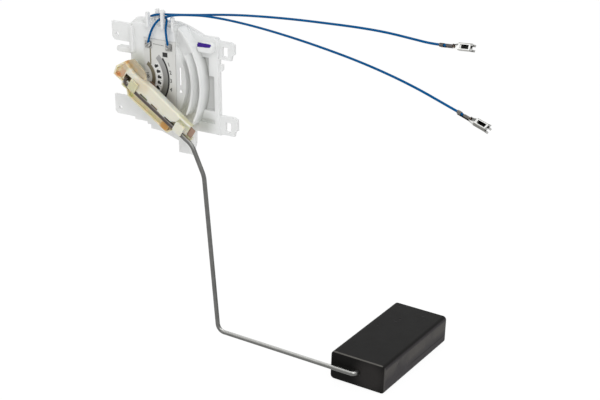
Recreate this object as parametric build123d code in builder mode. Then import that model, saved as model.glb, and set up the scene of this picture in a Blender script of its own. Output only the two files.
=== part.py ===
from build123d import *
import math
import os

os.makedirs("parts", exist_ok=True)

# Fuel level sender: a moulded housing that carries a printed resistor card,
# a swinging arm carrier with its contact spring, a bent wire rod, a foam
# float that turns on the end of the rod, and two flying leads.
# Millimetres. The origin is on the arm's pivot axis, in the rear mounting
# plane. +Z is up, +X is to the right, and the front of the sender faces -Y.
# A height h is the distance in front of the rear mounting plane.

# Housing, plate and tabs
SHEET_T = 1.6
TAB_T = 1.7
BODY_LEFT = -8.9
BODY_TOP = 27.0
BODY_BOTTOM = -27.3
BODY_STEP = 26.4
CORNER_CUT = 1.1
COMB_Z = 32.3
COMB_LEFT = 2.6
COMB_RIGHT = 24.5
TAB_LEFT = -21.4
TAB_ROOT = 1.7
TAB_HOLE_X = -18.0
TAB_HOLE_R = 1.15
TAB_CUT = 1.7
UPPER_HOLE_Z = 20.0
LOWER_HOLE_Z = -22.4
UPPER_TAB = (16.5, BODY_TOP)
LOWER_TAB = (-26.3, -15.0)
UPPER_ARM = (15.4, 25.4)
LOWER_ARM = (-26.6, -15.8)
UPPER_ARM_L = 9.6
LOWER_ARM_L = 10.9
UPPER_SLOT = (3.6, 19.8)
LOWER_SLOT = (4.9, -22.0)
SLOT_W = 3.5
SLOT_L = 5.2
TONGUE_X = 26.6
TONGUE_W = 9.2
TONGUE_BOTTOM = -41.9
NOSE = 1.9
HOOK_Z = 12.3
HOOK_W = 3.4
HOOK_LEFT = -17.5
HOOK_T = 3.0

# Housing, raised forms
PLATFORM_H = 4.8
PLATFORM_R = 30.3
PLATFORM_LEFT = -5.2
FRAME_H = 2.6
FRAME_INSET = 0.4
WINDOW_TOP = 15.6
WINDOW_BOTTOM = -14.0
WINDOW_STEP_Z = 5.6
RIB_TO_WINDOW = 1.9
RIB_TO_EDGE = 8.2
RIB_TO_BOSS = 1.5
SHOULDER_DOWN = 1.4
WINDOW_STEP = 3.2
WINDOW_FLOOR_H = 0.7
GROOVE_Z = -19.9
GROOVE_W = 2.4
GROOVE_L = 12.0
RIB_H = 8.4
RIB_W = 1.1
INNER_RIB_R = 36.6
OUTER_RIB_R = 42.2
INNER_RIB_ANGLES = (-27.0, 27.0)
OUTER_RIB_ANGLES = (-31.0, 47.0)
BOSS_Z = 21.4
BOSS_L = 10.2
BOSS_W = 5.6
BOSS_H = 6.0
BOSS_ROUND = 2.2
PILLAR_W = 1.6
PILLAR_H = 6.2
PILLAR_FOOT = 12.5
STOP_BLOCK = (5.6, 8.2)
STOP_BLOCK_SPAN = 18.0
STOP_BLOCK_H = 8.4
SLIT_X = 26.6
SLIT_W = 1.2
SLIT_Z = (-1.9, 8.1)
VENT_X = 26.6
VENT_Z = -5.4
VENT_R = 1.5
RELIEF_X = (22.3, 28.3)
RELIEF_Z = (-9.6, 9.1)
RELIEF_H = 3.4
SLIT_WEB = 0.5

# Housing, comb for the leads
POST_W = 1.7
POST_T = 1.7
FRONT_POST_H = 5.4
REAR_POST_H = 2.1
POST_FOOT = 4.0
POST_ROUND = 0.6
HEAD_L = 2.4
HEAD_W = 1.5
HEAD_Z = 37.9
FRONT_POSTS = ((7.1, 36.7, POST_W), (17.0, 39.0, POST_W), (23.8, 35.5, 1.3))
REAR_POSTS = ((9.1, 35.2, 1.2), (11.3, 38.3, POST_W), (20.9, 34.9, 1.2))

# Pivot
SHAFT_R = 2.4
RUNNING_FIT = 0.05
SHAFT_BORE_R = 1.2
SHAFT_BORE_H = 8.0
SHAFT_SLOT_W = 0.8
SHAFT_SLOT_H = 3.4
SNAP_R = 3.1
SNAP_H = 1.0
SNAP_T = 1.0
SNAP_POCKET_R = 3.5
SNAP_POCKET_H = (0.7, 2.3)
SHOULDER_R = 2.6
SHOULDER_GAP = 0.05
LUG_MIDDLE = 130.0
LUG_SPAN = 20.0
LUG_H = 5.3
SWING = 70.0
STOP_GAP = 0.4

# Resistor card and its prints
CARD_T = 1.0
CARD_SEAT_H = 4.0
CARD_LEFT = 2.9
CARD_RIGHT = 23.8
CARD_TOP = 21.6
CARD_BOTTOM = -17.5
CARD_FIT = 0.1
PRINT_T = 0.08
PAD_W = 4.5
PAD_L = 4.0
PAD_Z = 18.2
LEFT_PAD_X = 6.1
RIGHT_PAD_X = 19.7
TRACK_R = 9.05
TRACK_W = 2.3
TRACK_ANGLES = (-42.0, 57.0)
TRACE_X = 7.2
TRACE_W = 0.8
TRACE_FOOT = 7.4
MARK_R = 12.9
MARK_TOP = 31.0
MARK_STEP = 14.2
MARK_COUNT = 6
MARK_L = 2.5
MARK_W = 1.3
MARK_SPOT_R = 0.95
BAND_R = 17.0
BAND_W = 3.2
BAND_ANGLES = (-42.0, 46.0)
RESISTOR_W = 1.0
RESISTOR_ANGLES = (-42.0, 37.5)
PATCH_X = 17.0
PATCH_Z = 13.8
PATCH_W = 3.2
PATCH_L = 2.5
SOLDER_W = 3.9
SOLDER_L = 3.5
SOLDER_T = 1.15
SOLDER_ROUND = 0.9
SOLDER_SAG = 0.7

# Arm carrier
ARM_ANGLE = 33.0
BASE_H = 9.0
BASE_T = 1.2
HUB_R = 7.3
COVER_H = 12.6
LOW_COVER_H = 11.5
ARM_LENGTH = 43.3
TAIL_V = -8.6
END_V = -6.8
COVER_V = 3.7
COVER_END_V = 2.6
RIM_V = 1.9
FLANGE_V = -11.8
FLANGE_START = 2.2
FLANGE_SHORT = 10.1
COVER_STEP_SHORT = 15.8
COVER_ROUND = 1.1
FLANGE_WALL_H = 11.5
CHANNEL_WALL_H = 11.2
TRAY_WALL_H = 12.2
WALL_T = 0.9
SOCKET_BLOCK_U = -5.4
SOCKET_U = (-4.8, -0.4)
SOCKET_V = (-3.8, -0.7)
CAVITY_V = 2.95
FINGER_WINDOW_U = (6.8, 24.4)
FINGER_WINDOW_V = 2.6
LUMP_L = 5.1
LUMP_SHORT = 0.9
UPPER_CLIP_U = (0.1, 5.5)
LOWER_CLIP_L = 6.2
LOWER_CLIP_SHORT = 1.8
CLIP_ROOT_V = -0.3
CLIP_TIP_V = -6.3
CLIP_T = 0.8
CLIP_ROUND = 0.35
CRADLE_L = 2.0
CRADLE_T = 0.8
CRADLES_U = (1.8, 14.8, 24.5)
EDGE_NOTCHES = ((8.5, 14.0), (17.0, 22.0))
NOTCH_DEPTH = 1.1
NOTCH_H = 11.6

# Contact spring
SPRING_T = 0.35
SPRING_V = (-3.6, 1.4)
SPRING_WIDE_V = 2.85
SPRING_WIDE_U = (5.6, 25.6)
SPRING_START = -1.9
TONGUE_L = 3.2
TONGUE_V = (-4.2, 1.4)
FINGER_W = 1.8
FINGER_V = 1.2
FINGER_ROOT = 24.0
INNER_FINGER_U = 9.0
OUTER_FINGER_U = 12.4
FINGER_LIFT = 0.25
FINGER_FLAT = 0.7
FINGER_HEEL = 1.0
FINGER_TOE = 1.7
FINGER_TOE_RISE = 0.6
BUTTON_R = 0.6
BUTTON_GAP = 0.03
UPPER_STAKE_U = 3.4
LOWER_STAKE_SHORT = 12.3
STAKE_V = -1.1
STAKE_R = 0.7
STAKE_T = 0.8

# Float rod
ROD_R = 1.25
ROD_H = 11.7
ROD_V = -6.1
ROD_START = -3.4
ROD_END_V = -2.3
ROD_SIDE_GAP = 0.1
ROD_FIT = 0.03
SOCKET_BEND = 2.1
NECK_BEND = 10.0
KNEE_BEND = 12.0
CORNER_BEND = 4.6
EYE_BEND = 2.6
NECK = (38.2, -32.1)
KNEE = (45.6, -48.6)
CORNER = (52.9, -139.5)

# Float
PIN_X = 141.1
PIN_Z = -143.2
FLOAT_W = 33.3
FLOAT_L = 72.8
FLOAT_HEIGHT = 16.6
FLOAT_SHIFT = (-0.1, -0.1)
FLOAT_TILT = -2.2
FLOAT_FRONT_H = 8.6
FLOAT_EDGE_R = 2.2
FLOAT_END_R = 0.5
BORE_DEPTH = 58.0
PIN_LENGTH = 56.0
COLLAR_R = 1.7
COLLAR_T = 1.2
COLLAR_FROM_END = 4.0
COLLAR_PLAY = 0.15

# Leads and terminals
WIRE_R = 0.62
CORE_R = 0.36
BEND_SHARE = 0.45
CRIMP_FIT = 0.02
METAL_T = 0.3
SKIN_CRIMP = (0.0, 2.2)
CORE_CRIMP = (3.9, 7.2)
SKIN_END = 3.3
CRIMP_WALL = 0.33
STRIP_W = 1.9
NECK_END = 10.6
BOX_END = 17.2
BOX_W = 3.5
BOX_T = 2.2
BOX_WINDOW = (11.6, 16.3)
BOX_WINDOW_W = 2.0
LEAF_W = 1.4
LEAF_RISE = 0.8
LIP_L = 1.4
LIP_W = 1.1
LIP_FLARE = 0.5

BODY_RIGHT = OUTER_RIB_R + RIB_TO_EDGE
UPPER_ARM_END = BODY_RIGHT + UPPER_ARM_L
LOWER_ARM_END = BODY_RIGHT + LOWER_ARM_L
WINDOW_X = OUTER_RIB_R + RIB_TO_WINDOW
BOSS_X = OUTER_RIB_R + RIB_TO_BOSS
SHOULDER_X = OUTER_RIB_R - SHOULDER_DOWN
CARD_FRONT = CARD_SEAT_H + CARD_T
PRINT_FRONT = CARD_FRONT + PRINT_T
BASE_FRONT = BASE_H + BASE_T
FLANGE_END = ARM_LENGTH - FLANGE_SHORT
LUMP_U = (FLANGE_END - LUMP_SHORT - LUMP_L, FLANGE_END - LUMP_SHORT)
LOWER_CLIP_U = (
    ARM_LENGTH - LOWER_CLIP_SHORT - LOWER_CLIP_L,
    ARM_LENGTH - LOWER_CLIP_SHORT,
)
LAST_CRADLE_U = (sum(LOWER_CLIP_U) - CRADLE_L) / 2
SPRING_TIP = ARM_LENGTH + TONGUE_L
COVER_STEP_U = ARM_LENGTH - COVER_STEP_SHORT
STAKES_U = (UPPER_STAKE_U, ARM_LENGTH - LOWER_STAKE_SHORT)
COVER_LEFT = ROD_V + ROD_R + ROD_SIDE_GAP
CHANNEL_LEFT = ROD_V - ROD_R - ROD_SIDE_GAP
CLIP_H = ROD_H + ROD_R + ROD_FIT

# Routes of the leads, from the solder to the end of the blue skin
UPPER_ROUTE = (
    (19.9, -6.0, 18.6),
    (19.2, -6.3, 24.0),
    (18.9, -6.3, 29.2),
    (19.7, -6.0, 32.9),
    (16.4, -1.9, 33.5),
    (12.0, -1.2, 33.9),
    (7.5, -1.25, 33.6),
    (7.5, -4.6, 33.9),
    (11.8, -4.6, 35.4),
    (17.0, -4.6, 36.2),
    (25.5, -4.8, 37.1),
    (39.0, -6.1, 39.0),
    (54.2, -7.7, 41.5),
    (69.1, -9.3, 43.6),
    (86.5, -11.1, 45.4),
    (105.4, -13.3, 47.0),
    (124.0, -15.4, 48.1),
    (142.2, -17.5, 49.1),
    (159.8, -19.7, 49.5),
    (176.0, -21.6, 48.7),
    (186.4, -23.05, 48.25),
    (193.8, -23.9, 48.85),
)
LOWER_ROUTE = (
    (6.3, -6.0, 18.6),
    (8.0, -6.4, 23.6),
    (10.4, -6.4, 28.6),
    (13.0, -5.9, 32.1),
    (15.7, -4.6, 34.4),
    (18.9, -4.65, 34.95),
    (22.8, -6.8, 36.6),
    (28.2, -7.6, 37.9),
    (36.5, -8.4, 39.1),
    (46.0, -8.9, 40.1),
    (58.5, -9.9, 40.35),
    (72.0, -11.3, 40.1),
    (88.0, -13.4, 39.4),
    (107.1, -16.1, 38.0),
    (126.2, -18.9, 36.1),
    (144.7, -21.6, 33.8),
    (162.9, -24.4, 30.8),
    (180.6, -27.2, 27.0),
    (194.5, -29.4, 23.1),
    (207.7, -31.6, 19.4),
)
LEADS = (
    ("upper", UPPER_ROUTE, (RIGHT_PAD_X, PAD_Z), (0.3, -0.85, 0.42)),
    ("lower", LOWER_ROUTE, (LEFT_PAD_X, PAD_Z), (0.45, -0.55, 0.7)),
)


def front(height):
    """A sketch plane parallel to the mounting plane: x is X and y is Z."""
    return Plane.XZ.offset(height)


def along_arm(height):
    """The same plane turned to the arm at rest: x runs along the arm."""
    angle = math.radians(ARM_ANGLE)
    direction = (math.cos(angle), 0, -math.sin(angle))
    return Plane(origin=(0, -height, 0), x_dir=direction, z_dir=(0, -1, 0))


def arm_point(u, v, height):
    """The place of a point that is given along and across the arm."""
    return along_arm(height).from_local_coords(Vector(u, v, 0))


def bend_radii(route):
    """The radius of each bend, so that the arcs leave some straight wire."""
    radii = []
    for before, here, after in zip(route, route[1:], route[2:]):
        first = Vector(here) - Vector(before)
        second = Vector(after) - Vector(here)
        turn = math.radians(first.get_angle(second))
        shorter = min(first.length, second.length)
        radii.append(BEND_SHARE * shorter / math.tan(turn / 2))
    return radii


# Housing: one translucent moulding
with BuildPart() as housing:
    # Floor sheet with its stepped lower edge and the tongue
    with BuildSketch(front(0)):
        with BuildLine():
            Polyline(
                (BODY_LEFT, BODY_BOTTOM + 1.0),
                (BODY_LEFT, BODY_TOP),
                (-3.9, COMB_Z - 1.0),
                (COMB_LEFT, COMB_Z),
                (COMB_RIGHT, COMB_Z),
                (31.9, COMB_Z - 1.9),
                (SHOULDER_X, BODY_TOP),
                (BODY_RIGHT - CORNER_CUT, BODY_TOP),
                (BODY_RIGHT, UPPER_ARM[1]),
                (BODY_RIGHT, BODY_BOTTOM),
                (TONGUE_X + TONGUE_W / 2 + 2.4, BODY_BOTTOM),
                (TONGUE_X + TONGUE_W / 2 + 2.4, BODY_BOTTOM - 7.1),
                (TONGUE_X + TONGUE_W / 2, TONGUE_BOTTOM),
                (TONGUE_X - TONGUE_W / 2, TONGUE_BOTTOM),
                (TONGUE_X - TONGUE_W / 2, BODY_BOTTOM - 7.9),
                (10.8, BODY_BOTTOM - 4.4),
                (3.3, BODY_BOTTOM - 4.0),
                (3.3, BODY_BOTTOM - 1.8),
                (0.9, BODY_BOTTOM - 1.8),
                (0.9, BODY_BOTTOM + 1.0),
                close=True,
            )
        make_face()
    extrude(amount=SHEET_T)
    # Left tabs, each cut at its outer lower corner
    for bottom, top in (UPPER_TAB, LOWER_TAB):
        with BuildSketch(front(0)):
            with BuildLine():
                Polyline(
                    (BODY_LEFT + TAB_ROOT, bottom),
                    (BODY_LEFT + TAB_ROOT, top),
                    (TAB_LEFT, top),
                    (TAB_LEFT, bottom + TAB_CUT),
                    (TAB_LEFT + TAB_CUT, bottom),
                    close=True,
                )
            make_face()
        extrude(amount=TAB_T)
    # Right arms
    for (bottom, top), end in ((UPPER_ARM, UPPER_ARM_END), (LOWER_ARM, LOWER_ARM_END)):
        with BuildSketch(front(0)):
            with BuildLine():
                Polyline(
                    (BODY_RIGHT - TAB_ROOT, bottom),
                    (end - TAB_CUT - 0.5, bottom),
                    (end - TAB_CUT, bottom + 2.6),
                    (end, bottom + 3.6),
                    (end, top - 1.0),
                    (end - 2.4, top),
                    (BODY_RIGHT - TAB_ROOT, top),
                    close=True,
                )
            make_face()
        extrude(amount=TAB_T)
    # Small nose between the right arms, and the locating finger on the left
    with BuildSketch(front(0)):
        with BuildLine():
            Polyline(
                (BODY_RIGHT - TAB_ROOT, 7.0),
                (BODY_RIGHT, 8.0),
                (BODY_RIGHT + NOSE, 9.4),
                (BODY_RIGHT + NOSE, 12.6),
                (BODY_RIGHT - TAB_ROOT, 12.8),
                close=True,
            )
        make_face()
    extrude(amount=TAB_T)
    with BuildSketch(front(0)):
        with Locations(((HOOK_LEFT + BODY_LEFT + TAB_ROOT) / 2, HOOK_Z)):
            RectangleRounded(BODY_LEFT + TAB_ROOT - HOOK_LEFT, HOOK_W, 1.3)
    extrude(amount=HOOK_T)
    # Platform behind the card, joined to the comb above it
    with BuildSketch(front(0)):
        Circle(PLATFORM_R)
        with Locations((PLATFORM_LEFT + PLATFORM_R, 0)):
            Rectangle(2 * PLATFORM_R, 2 * PLATFORM_R, mode=Mode.INTERSECT)
        with Locations((PLATFORM_R, 0)):
            Rectangle(4 * PLATFORM_R, 2 * BODY_STEP, mode=Mode.INTERSECT)
        with Locations(((PLATFORM_LEFT + COMB_RIGHT) / 2, COMB_Z - 8.0)):
            Rectangle(COMB_RIGHT - PLATFORM_LEFT - 2.0, 10.0)
    extrude(amount=PLATFORM_H)
    # Upright strips left of the card
    for strip_x, strip_h in ((BODY_LEFT, FRAME_H), (PLATFORM_LEFT, PILLAR_H)):
        with BuildSketch(front(0)):
            with Locations((strip_x + PILLAR_W / 2, (BODY_TOP + PILLAR_FOOT) / 2)):
                Rectangle(PILLAR_W, BODY_TOP - PILLAR_FOOT)
        extrude(amount=strip_h)
    # Raised frame on the right, open over the window and a groove below it
    with BuildSketch(front(0)):
        with BuildLine():
            Polyline(
                (COMB_RIGHT, COMB_Z - 0.6),
                (31.9, COMB_Z - 2.6),
                (SHOULDER_X, BODY_TOP - FRAME_INSET),
                (BODY_RIGHT - CORNER_CUT - FRAME_INSET, BODY_TOP - FRAME_INSET),
                (BODY_RIGHT - FRAME_INSET, UPPER_ARM[1]),
                (BODY_RIGHT - FRAME_INSET, BODY_BOTTOM + FRAME_INSET),
                (TONGUE_X, BODY_BOTTOM + FRAME_INSET),
                close=True,
            )
        make_face()
        Circle(OUTER_RIB_R + RIB_W / 2, mode=Mode.SUBTRACT)
        with Locations((WINDOW_X / 2, (WINDOW_TOP + WINDOW_BOTTOM) / 2)):
            Rectangle(WINDOW_X, WINDOW_TOP - WINDOW_BOTTOM, mode=Mode.SUBTRACT)
        with Locations((WINDOW_X / 2 + WINDOW_STEP, (WINDOW_STEP_Z + WINDOW_BOTTOM) / 2)):
            Rectangle(WINDOW_X, WINDOW_STEP_Z - WINDOW_BOTTOM, mode=Mode.SUBTRACT)
        with Locations((WINDOW_X - GROOVE_L / 2 + WINDOW_STEP, GROOVE_Z)):
            RectangleRounded(GROOVE_L, GROOVE_W, 0.6, mode=Mode.SUBTRACT)
    extrude(amount=FRAME_H)
    # Thin floor of the window, outside the outer rib
    with BuildSketch(front(WINDOW_FLOOR_H)):
        with Locations((WINDOW_X / 2, (WINDOW_TOP + WINDOW_BOTTOM) / 2)):
            Rectangle(WINDOW_X, WINDOW_TOP - WINDOW_BOTTOM)
        with Locations((WINDOW_X / 2 + WINDOW_STEP, (WINDOW_STEP_Z + WINDOW_BOTTOM) / 2)):
            Rectangle(WINDOW_X, WINDOW_STEP_Z - WINDOW_BOTTOM)
        Circle(OUTER_RIB_R + RIB_W / 2, mode=Mode.SUBTRACT)
    extrude(amount=FRAME_H, mode=Mode.SUBTRACT)
    # Two curved guide ribs about the pivot
    for rib_r, (rib_start, rib_end) in (
        (INNER_RIB_R, INNER_RIB_ANGLES),
        (OUTER_RIB_R, OUTER_RIB_ANGLES),
    ):
        with BuildSketch(front(0)):
            with BuildLine():
                rib_inside = CenterArc((0, 0), rib_r - RIB_W / 2, rib_start, rib_end - rib_start)
                rib_outside = CenterArc((0, 0), rib_r + RIB_W / 2, rib_start, rib_end - rib_start)
                Line(rib_inside @ 0, rib_outside @ 0)
                Line(rib_inside @ 1, rib_outside @ 1)
            make_face()
        extrude(amount=RIB_H)
    # Boss on the frame that takes the paint mark
    with BuildSketch(front(0)):
        with Locations((BOSS_X, BOSS_Z)):
            RectangleRounded(BOSS_L, BOSS_W, BOSS_ROUND)
    extrude(amount=BOSS_H)
    boss_front = housing.faces().filter_by_position(Axis.Y, -BOSS_H - 0.01, -BOSS_H + 0.01)
    fillet(boss_front.edges(), BOSS_ROUND / 2)
    # Comb of posts that grips the leads, one of them with a hooked head
    with BuildSketch(front(0)):
        with Locations(((COMB_LEFT + COMB_RIGHT) / 2, COMB_Z - 2.4)):
            Rectangle(COMB_RIGHT - COMB_LEFT, 3.0)
    extrude(amount=REAR_POST_H + POST_T)
    for posts, post_h in ((FRONT_POSTS, FRONT_POST_H), (REAR_POSTS, REAR_POST_H)):
        for post_x, post_top, post_w in posts:
            with BuildSketch(front(post_h)):
                with Locations((post_x, (post_top + COMB_Z - POST_FOOT) / 2)):
                    RectangleRounded(post_w, post_top - COMB_Z + POST_FOOT, POST_ROUND - 0.05)
            extrude(amount=POST_T)
            with BuildSketch(front(0)):
                with Locations((post_x, COMB_Z - POST_FOOT / 2 - 0.6)):
                    Rectangle(post_w, POST_FOOT - 1.2)
            extrude(amount=post_h + POST_T)
    with BuildSketch(front(FRONT_POST_H)):
        with Locations((FRONT_POSTS[1][0] + (HEAD_L - POST_W) / 2, HEAD_Z)):
            RectangleRounded(HEAD_L, HEAD_W, POST_ROUND)
    extrude(amount=POST_T)
    # Blocks that stop the arm at both ends of its swing
    for block_start in (
        LUG_MIDDLE - LUG_SPAN / 2 - STOP_GAP - STOP_BLOCK_SPAN,
        LUG_MIDDLE + LUG_SPAN / 2 + STOP_GAP + SWING,
    ):
        with BuildSketch(front(0)):
            with BuildLine():
                block_inside = CenterArc((0, 0), STOP_BLOCK[0], block_start, STOP_BLOCK_SPAN)
                block_outside = CenterArc((0, 0), STOP_BLOCK[1], block_start, STOP_BLOCK_SPAN)
                Line(block_inside @ 0, block_outside @ 0)
                Line(block_inside @ 1, block_outside @ 1)
            make_face()
        extrude(amount=STOP_BLOCK_H)
    # Card seat
    with BuildSketch(front(CARD_SEAT_H)):
        with Locations(((CARD_LEFT + CARD_RIGHT) / 2, (CARD_TOP + CARD_BOTTOM) / 2)):
            Rectangle(
                CARD_RIGHT - CARD_LEFT + 2 * CARD_FIT,
                CARD_TOP - CARD_BOTTOM + 2 * CARD_FIT,
            )
    extrude(amount=PLATFORM_H, mode=Mode.SUBTRACT)
    # Blind pivot bore and the undercut for its snap head
    with BuildSketch(front(SNAP_POCKET_H[0])):
        Circle(SHAFT_R + RUNNING_FIT)
    extrude(amount=PLATFORM_H, mode=Mode.SUBTRACT)
    with BuildSketch(front(SNAP_POCKET_H[0])):
        Circle(SNAP_POCKET_R)
    extrude(amount=SNAP_POCKET_H[1] - SNAP_POCKET_H[0], mode=Mode.SUBTRACT)
    # Relief in the rear that leaves only a thin web round the slit and vent
    for relief_left, relief_h in (
        (RELIEF_X[0], RELIEF_H),
        (CARD_RIGHT + 3 * CARD_FIT, PLATFORM_H - SLIT_WEB),
    ):
        with BuildSketch(front(0)):
            with Locations(((relief_left + RELIEF_X[1]) / 2, sum(RELIEF_Z) / 2)):
                Rectangle(RELIEF_X[1] - relief_left, RELIEF_Z[1] - RELIEF_Z[0])
        extrude(amount=relief_h, mode=Mode.SUBTRACT)
    # Tab holes, latch slots, the slit and the small three-cornered vent
    with BuildSketch(front(0)):
        with Locations((TAB_HOLE_X, UPPER_HOLE_Z), (TAB_HOLE_X, LOWER_HOLE_Z)):
            Circle(TAB_HOLE_R)
        with Locations(
            (BODY_RIGHT + UPPER_SLOT[0], UPPER_SLOT[1]),
            (BODY_RIGHT + LOWER_SLOT[0], LOWER_SLOT[1]),
        ):
            Rectangle(SLOT_W, SLOT_L)
        with Locations((SLIT_X, sum(SLIT_Z) / 2)):
            Rectangle(SLIT_W, SLIT_Z[1] - SLIT_Z[0])
        with Locations((VENT_X, VENT_Z)):
            RegularPolygon(VENT_R, 3, rotation=90)
    extrude(amount=PLATFORM_H, mode=Mode.SUBTRACT)

housing.part.label = "housing"
export_step(housing.part, "parts/housing.step")

# Resistor card: a flat ceramic plate in its seat
with BuildPart() as resistor_card:
    with BuildSketch(front(CARD_SEAT_H)):
        with Locations(((CARD_LEFT + CARD_RIGHT) / 2, (CARD_TOP + CARD_BOTTOM) / 2)):
            Rectangle(CARD_RIGHT - CARD_LEFT, CARD_TOP - CARD_BOTTOM)
    extrude(amount=CARD_T)

resistor_card.part.label = "resistor_card"
export_step(resistor_card.part, "parts/resistor_card.step")

# Printed arcs about the pivot: ground track, collector band, resistor
for name, arc_r, arc_w, (arc_start, arc_end) in (
    ("ground_track", TRACK_R, TRACK_W, TRACK_ANGLES),
    ("collector_band", BAND_R, BAND_W, BAND_ANGLES),
    ("resistor_arc", BAND_R + (BAND_W + RESISTOR_W) / 2, RESISTOR_W, RESISTOR_ANGLES),
):
    with BuildPart() as printed_arc:
        with BuildSketch(front(CARD_FRONT)):
            with BuildLine():
                arc_inside = CenterArc((0, 0), arc_r - arc_w / 2, arc_start, arc_end - arc_start)
                arc_outside = CenterArc((0, 0), arc_r + arc_w / 2, arc_start, arc_end - arc_start)
                Line(arc_inside @ 0, arc_outside @ 0)
                Line(arc_inside @ 1, arc_outside @ 1)
            make_face()
            if name == "ground_track":
                with Locations((TRACE_X, (TRACE_FOOT + PAD_Z - PAD_L / 2) / 2)):
                    Rectangle(TRACE_W, PAD_Z - PAD_L / 2 - TRACE_FOOT)
        extrude(amount=PRINT_T)
    printed_arc.part.label = name
    export_step(printed_arc.part, f"parts/{name}.step")

# Contact marks between the two tracks
with BuildPart() as contact_marks:
    with BuildSketch(front(CARD_FRONT)):
        with PolarLocations(MARK_R, MARK_COUNT, MARK_TOP, -MARK_STEP * MARK_COUNT):
            Rectangle(MARK_L, MARK_W)
            with Locations((-0.4, 0.25)):
                Circle(MARK_SPOT_R)
    extrude(amount=PRINT_T)

contact_marks.part.label = "contact_marks"
export_step(contact_marks.part, "parts/contact_marks.step")

# Trim patch above the resistor
with BuildPart() as trim_patch:
    with BuildSketch(front(CARD_FRONT)):
        with Locations((PATCH_X, PATCH_Z)):
            Rectangle(PATCH_W, PATCH_L)
    extrude(amount=PRINT_T)

trim_patch.part.label = "trim_patch"
export_step(trim_patch.part, "parts/trim_patch.step")

# Silver pads that take the leads
with BuildPart() as terminal_pads:
    with BuildSketch(front(CARD_FRONT)):
        with Locations((LEFT_PAD_X, PAD_Z), (RIGHT_PAD_X, PAD_Z)):
            Rectangle(PAD_W, PAD_L)
    extrude(amount=PRINT_T)

terminal_pads.part.label = "terminal_pads"
export_step(terminal_pads.part, "parts/terminal_pads.step")

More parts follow.
